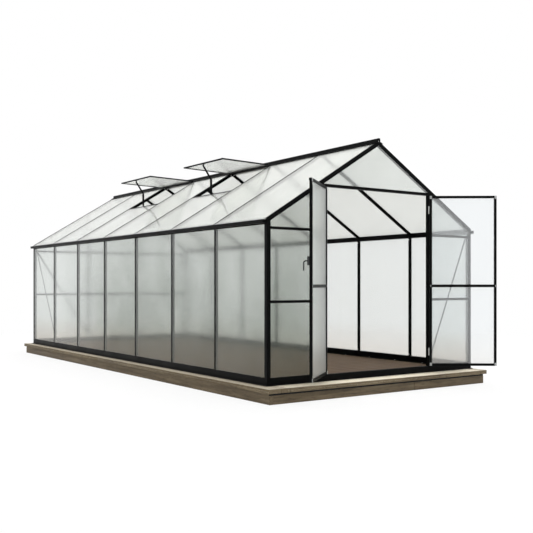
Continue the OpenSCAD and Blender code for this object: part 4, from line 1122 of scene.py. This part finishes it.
for side, sideName in ((-1, "left"), (1, "right")):
    axis = Vector(joints[sideName + "_door_hinge"]["pos_m"])
    place = leafPlace(side)
    out = place.to_3x3() @ Vector((0, -1, 0))

    # A point of the open leaf: across from its hinge line, inwards, and up from its foot.
    def leafPoint(across, inward, z):
        return place @ Vector((-side * across, inward, z))

    hingeScrews, frameScrews, rings = [], [], []
    for z in (leafFoot + leaf["hingeAt"], leafHead - leaf["hingeAt"]):
        for step in leaf["plateSteps"]:
            across, inward = leaf["plateAcross"], leaf["plateFace"]
            postSpot = axis + Vector((side * across, inward, z - axis.z - step))
            postScrews.append(facing(postSpot, (0, -1, 0), step * leaf["postTurn"]))
            hingeScrews.append(facing(leafPoint(across, inward, z - axis.z + step), out,
                step * leaf["hingeTurn"]))
    stileIn = leaf["bar"] / 2
    for x in (leaf["start"] + stileIn, leaf["start"] + leaf["wide"] - stileIn):
        for step in leaf["cornerScrews"]:
            for z in (step, tall - step):
                frameScrews.append(facing(leafPoint(x, innerFace + leaf["cornerThick"], z), -out,
                    z * leaf["frameTurn"]))
        onStrip = closing["deep"] if side < 0 and x > leaf["wide"] / 2 else 0
        for z in (railAt - leaf["railScrews"], railAt + leaf["railScrews"]):
            for inward, way in ((innerFace + onStrip, -out), (leaf["out"], out)):
                frameScrews.append(facing(leafPoint(x, inward, z), way, z * leaf["frameTurn"]))
    x0, x1 = leaf["start"] + leaf["bar"], leaf["start"] + leaf["wide"] - leaf["bar"]
    for z0, z1 in ((leaf["bar"], railAt - leaf["bar"] / 2), (railAt + leaf["bar"] / 2, tall - leaf["bar"])):
        for inward, face in ((leaf["sheetIn"], -out), (leaf["sheetOut"], out)):
            ring = [leafPoint(x, inward, z) for x, z in ((x0, z0), (x1, z0), (x1, z1), (x0, z1))]
            turns = (ring[1] - ring[0]).cross(ring[2] - ring[1]).dot(face) > 0
            rings += paneRing(ring if turns else ring[::-1], face)
    body = sideName + "_door"
    fitHeads(sideName + "HingeScrews", leaf["screwSize"], hingeScrews, body)
    fitHeads(sideName + "LeafScrews", leaf["screwSize"], frameScrews, body)
    laySeals(sideName + "LeafSeals", rings, body)
fitHeads("postHingeScrews", leaf["screwSize"], postScrews)

# The left leaf's closing strip, on the inner face of its free stile between the corner plates.
farEdge = leaf["start"] + leaf["wide"]
strip = addBlock("closingStrip", (farEdge - leaf["bar"] + closing["sideIn"], innerFace, closing["endIn"]),
    (farEdge - closing["sideIn"], innerFace + closing["deep"], tall - closing["endIn"]))
roundEdges(strip, closing["edge"], 1)
strip.data.transform(leafPlace(-1))
finishPiece(strip, frameBlack, "left_door")

# Screws and a key cylinder on the lock case's outer face.
lock = {
    "across": 0.750,
    "face": -0.014,
    "screwSize": (0.003, 0.0012),
    "screwReach": 0.036,
    "screwTurn": 40,
    "keyDrop": 0.020,
    "keyRadius": 0.0055,
    "keyRise": 0.002,
    "keySides": 24,
    "keyRim": 0.0008,
    "keyDome": 0.0004,
    "slotHalf": (0.0007, 0.003),
    "slotFrom": 0.0008,
}
lockZ = joints["lever_turn"]["pos_m"][2] - joints["left_door_hinge"]["pos_m"][2]


# A place on the lock case's outer face, up or down from the lever's axis.
def lockPlace(rise, spin=0.0):
    place = leafPlace(-1)
    return facing(place @ Vector((lock["across"], lock["face"], lockZ + rise)),
        place.to_3x3() @ Vector((0, -1, 0)), spin)


fitHeads("lockScrews", lock["screwSize"],
    [lockPlace(z, z * lock["screwTurn"]) for z in (-lock["screwReach"], lock["screwReach"])], "left_door")
key = addDisc("keyCylinder", lock["keyRadius"], lock["keyRise"], lock["keySides"])
drawIn(key, (0, 0, 1), lock["keyRim"], lock["keyDome"])
slotX, slotY = lock["slotHalf"]
cutAway(key, (-slotX, -slotY, lock["slotFrom"]), (slotX, slotY, beyond))
key.data.transform(lockPlace(-lock["keyDrop"]))
finishPiece(key, zincSteel, "left_door")

print("door fittings are on")
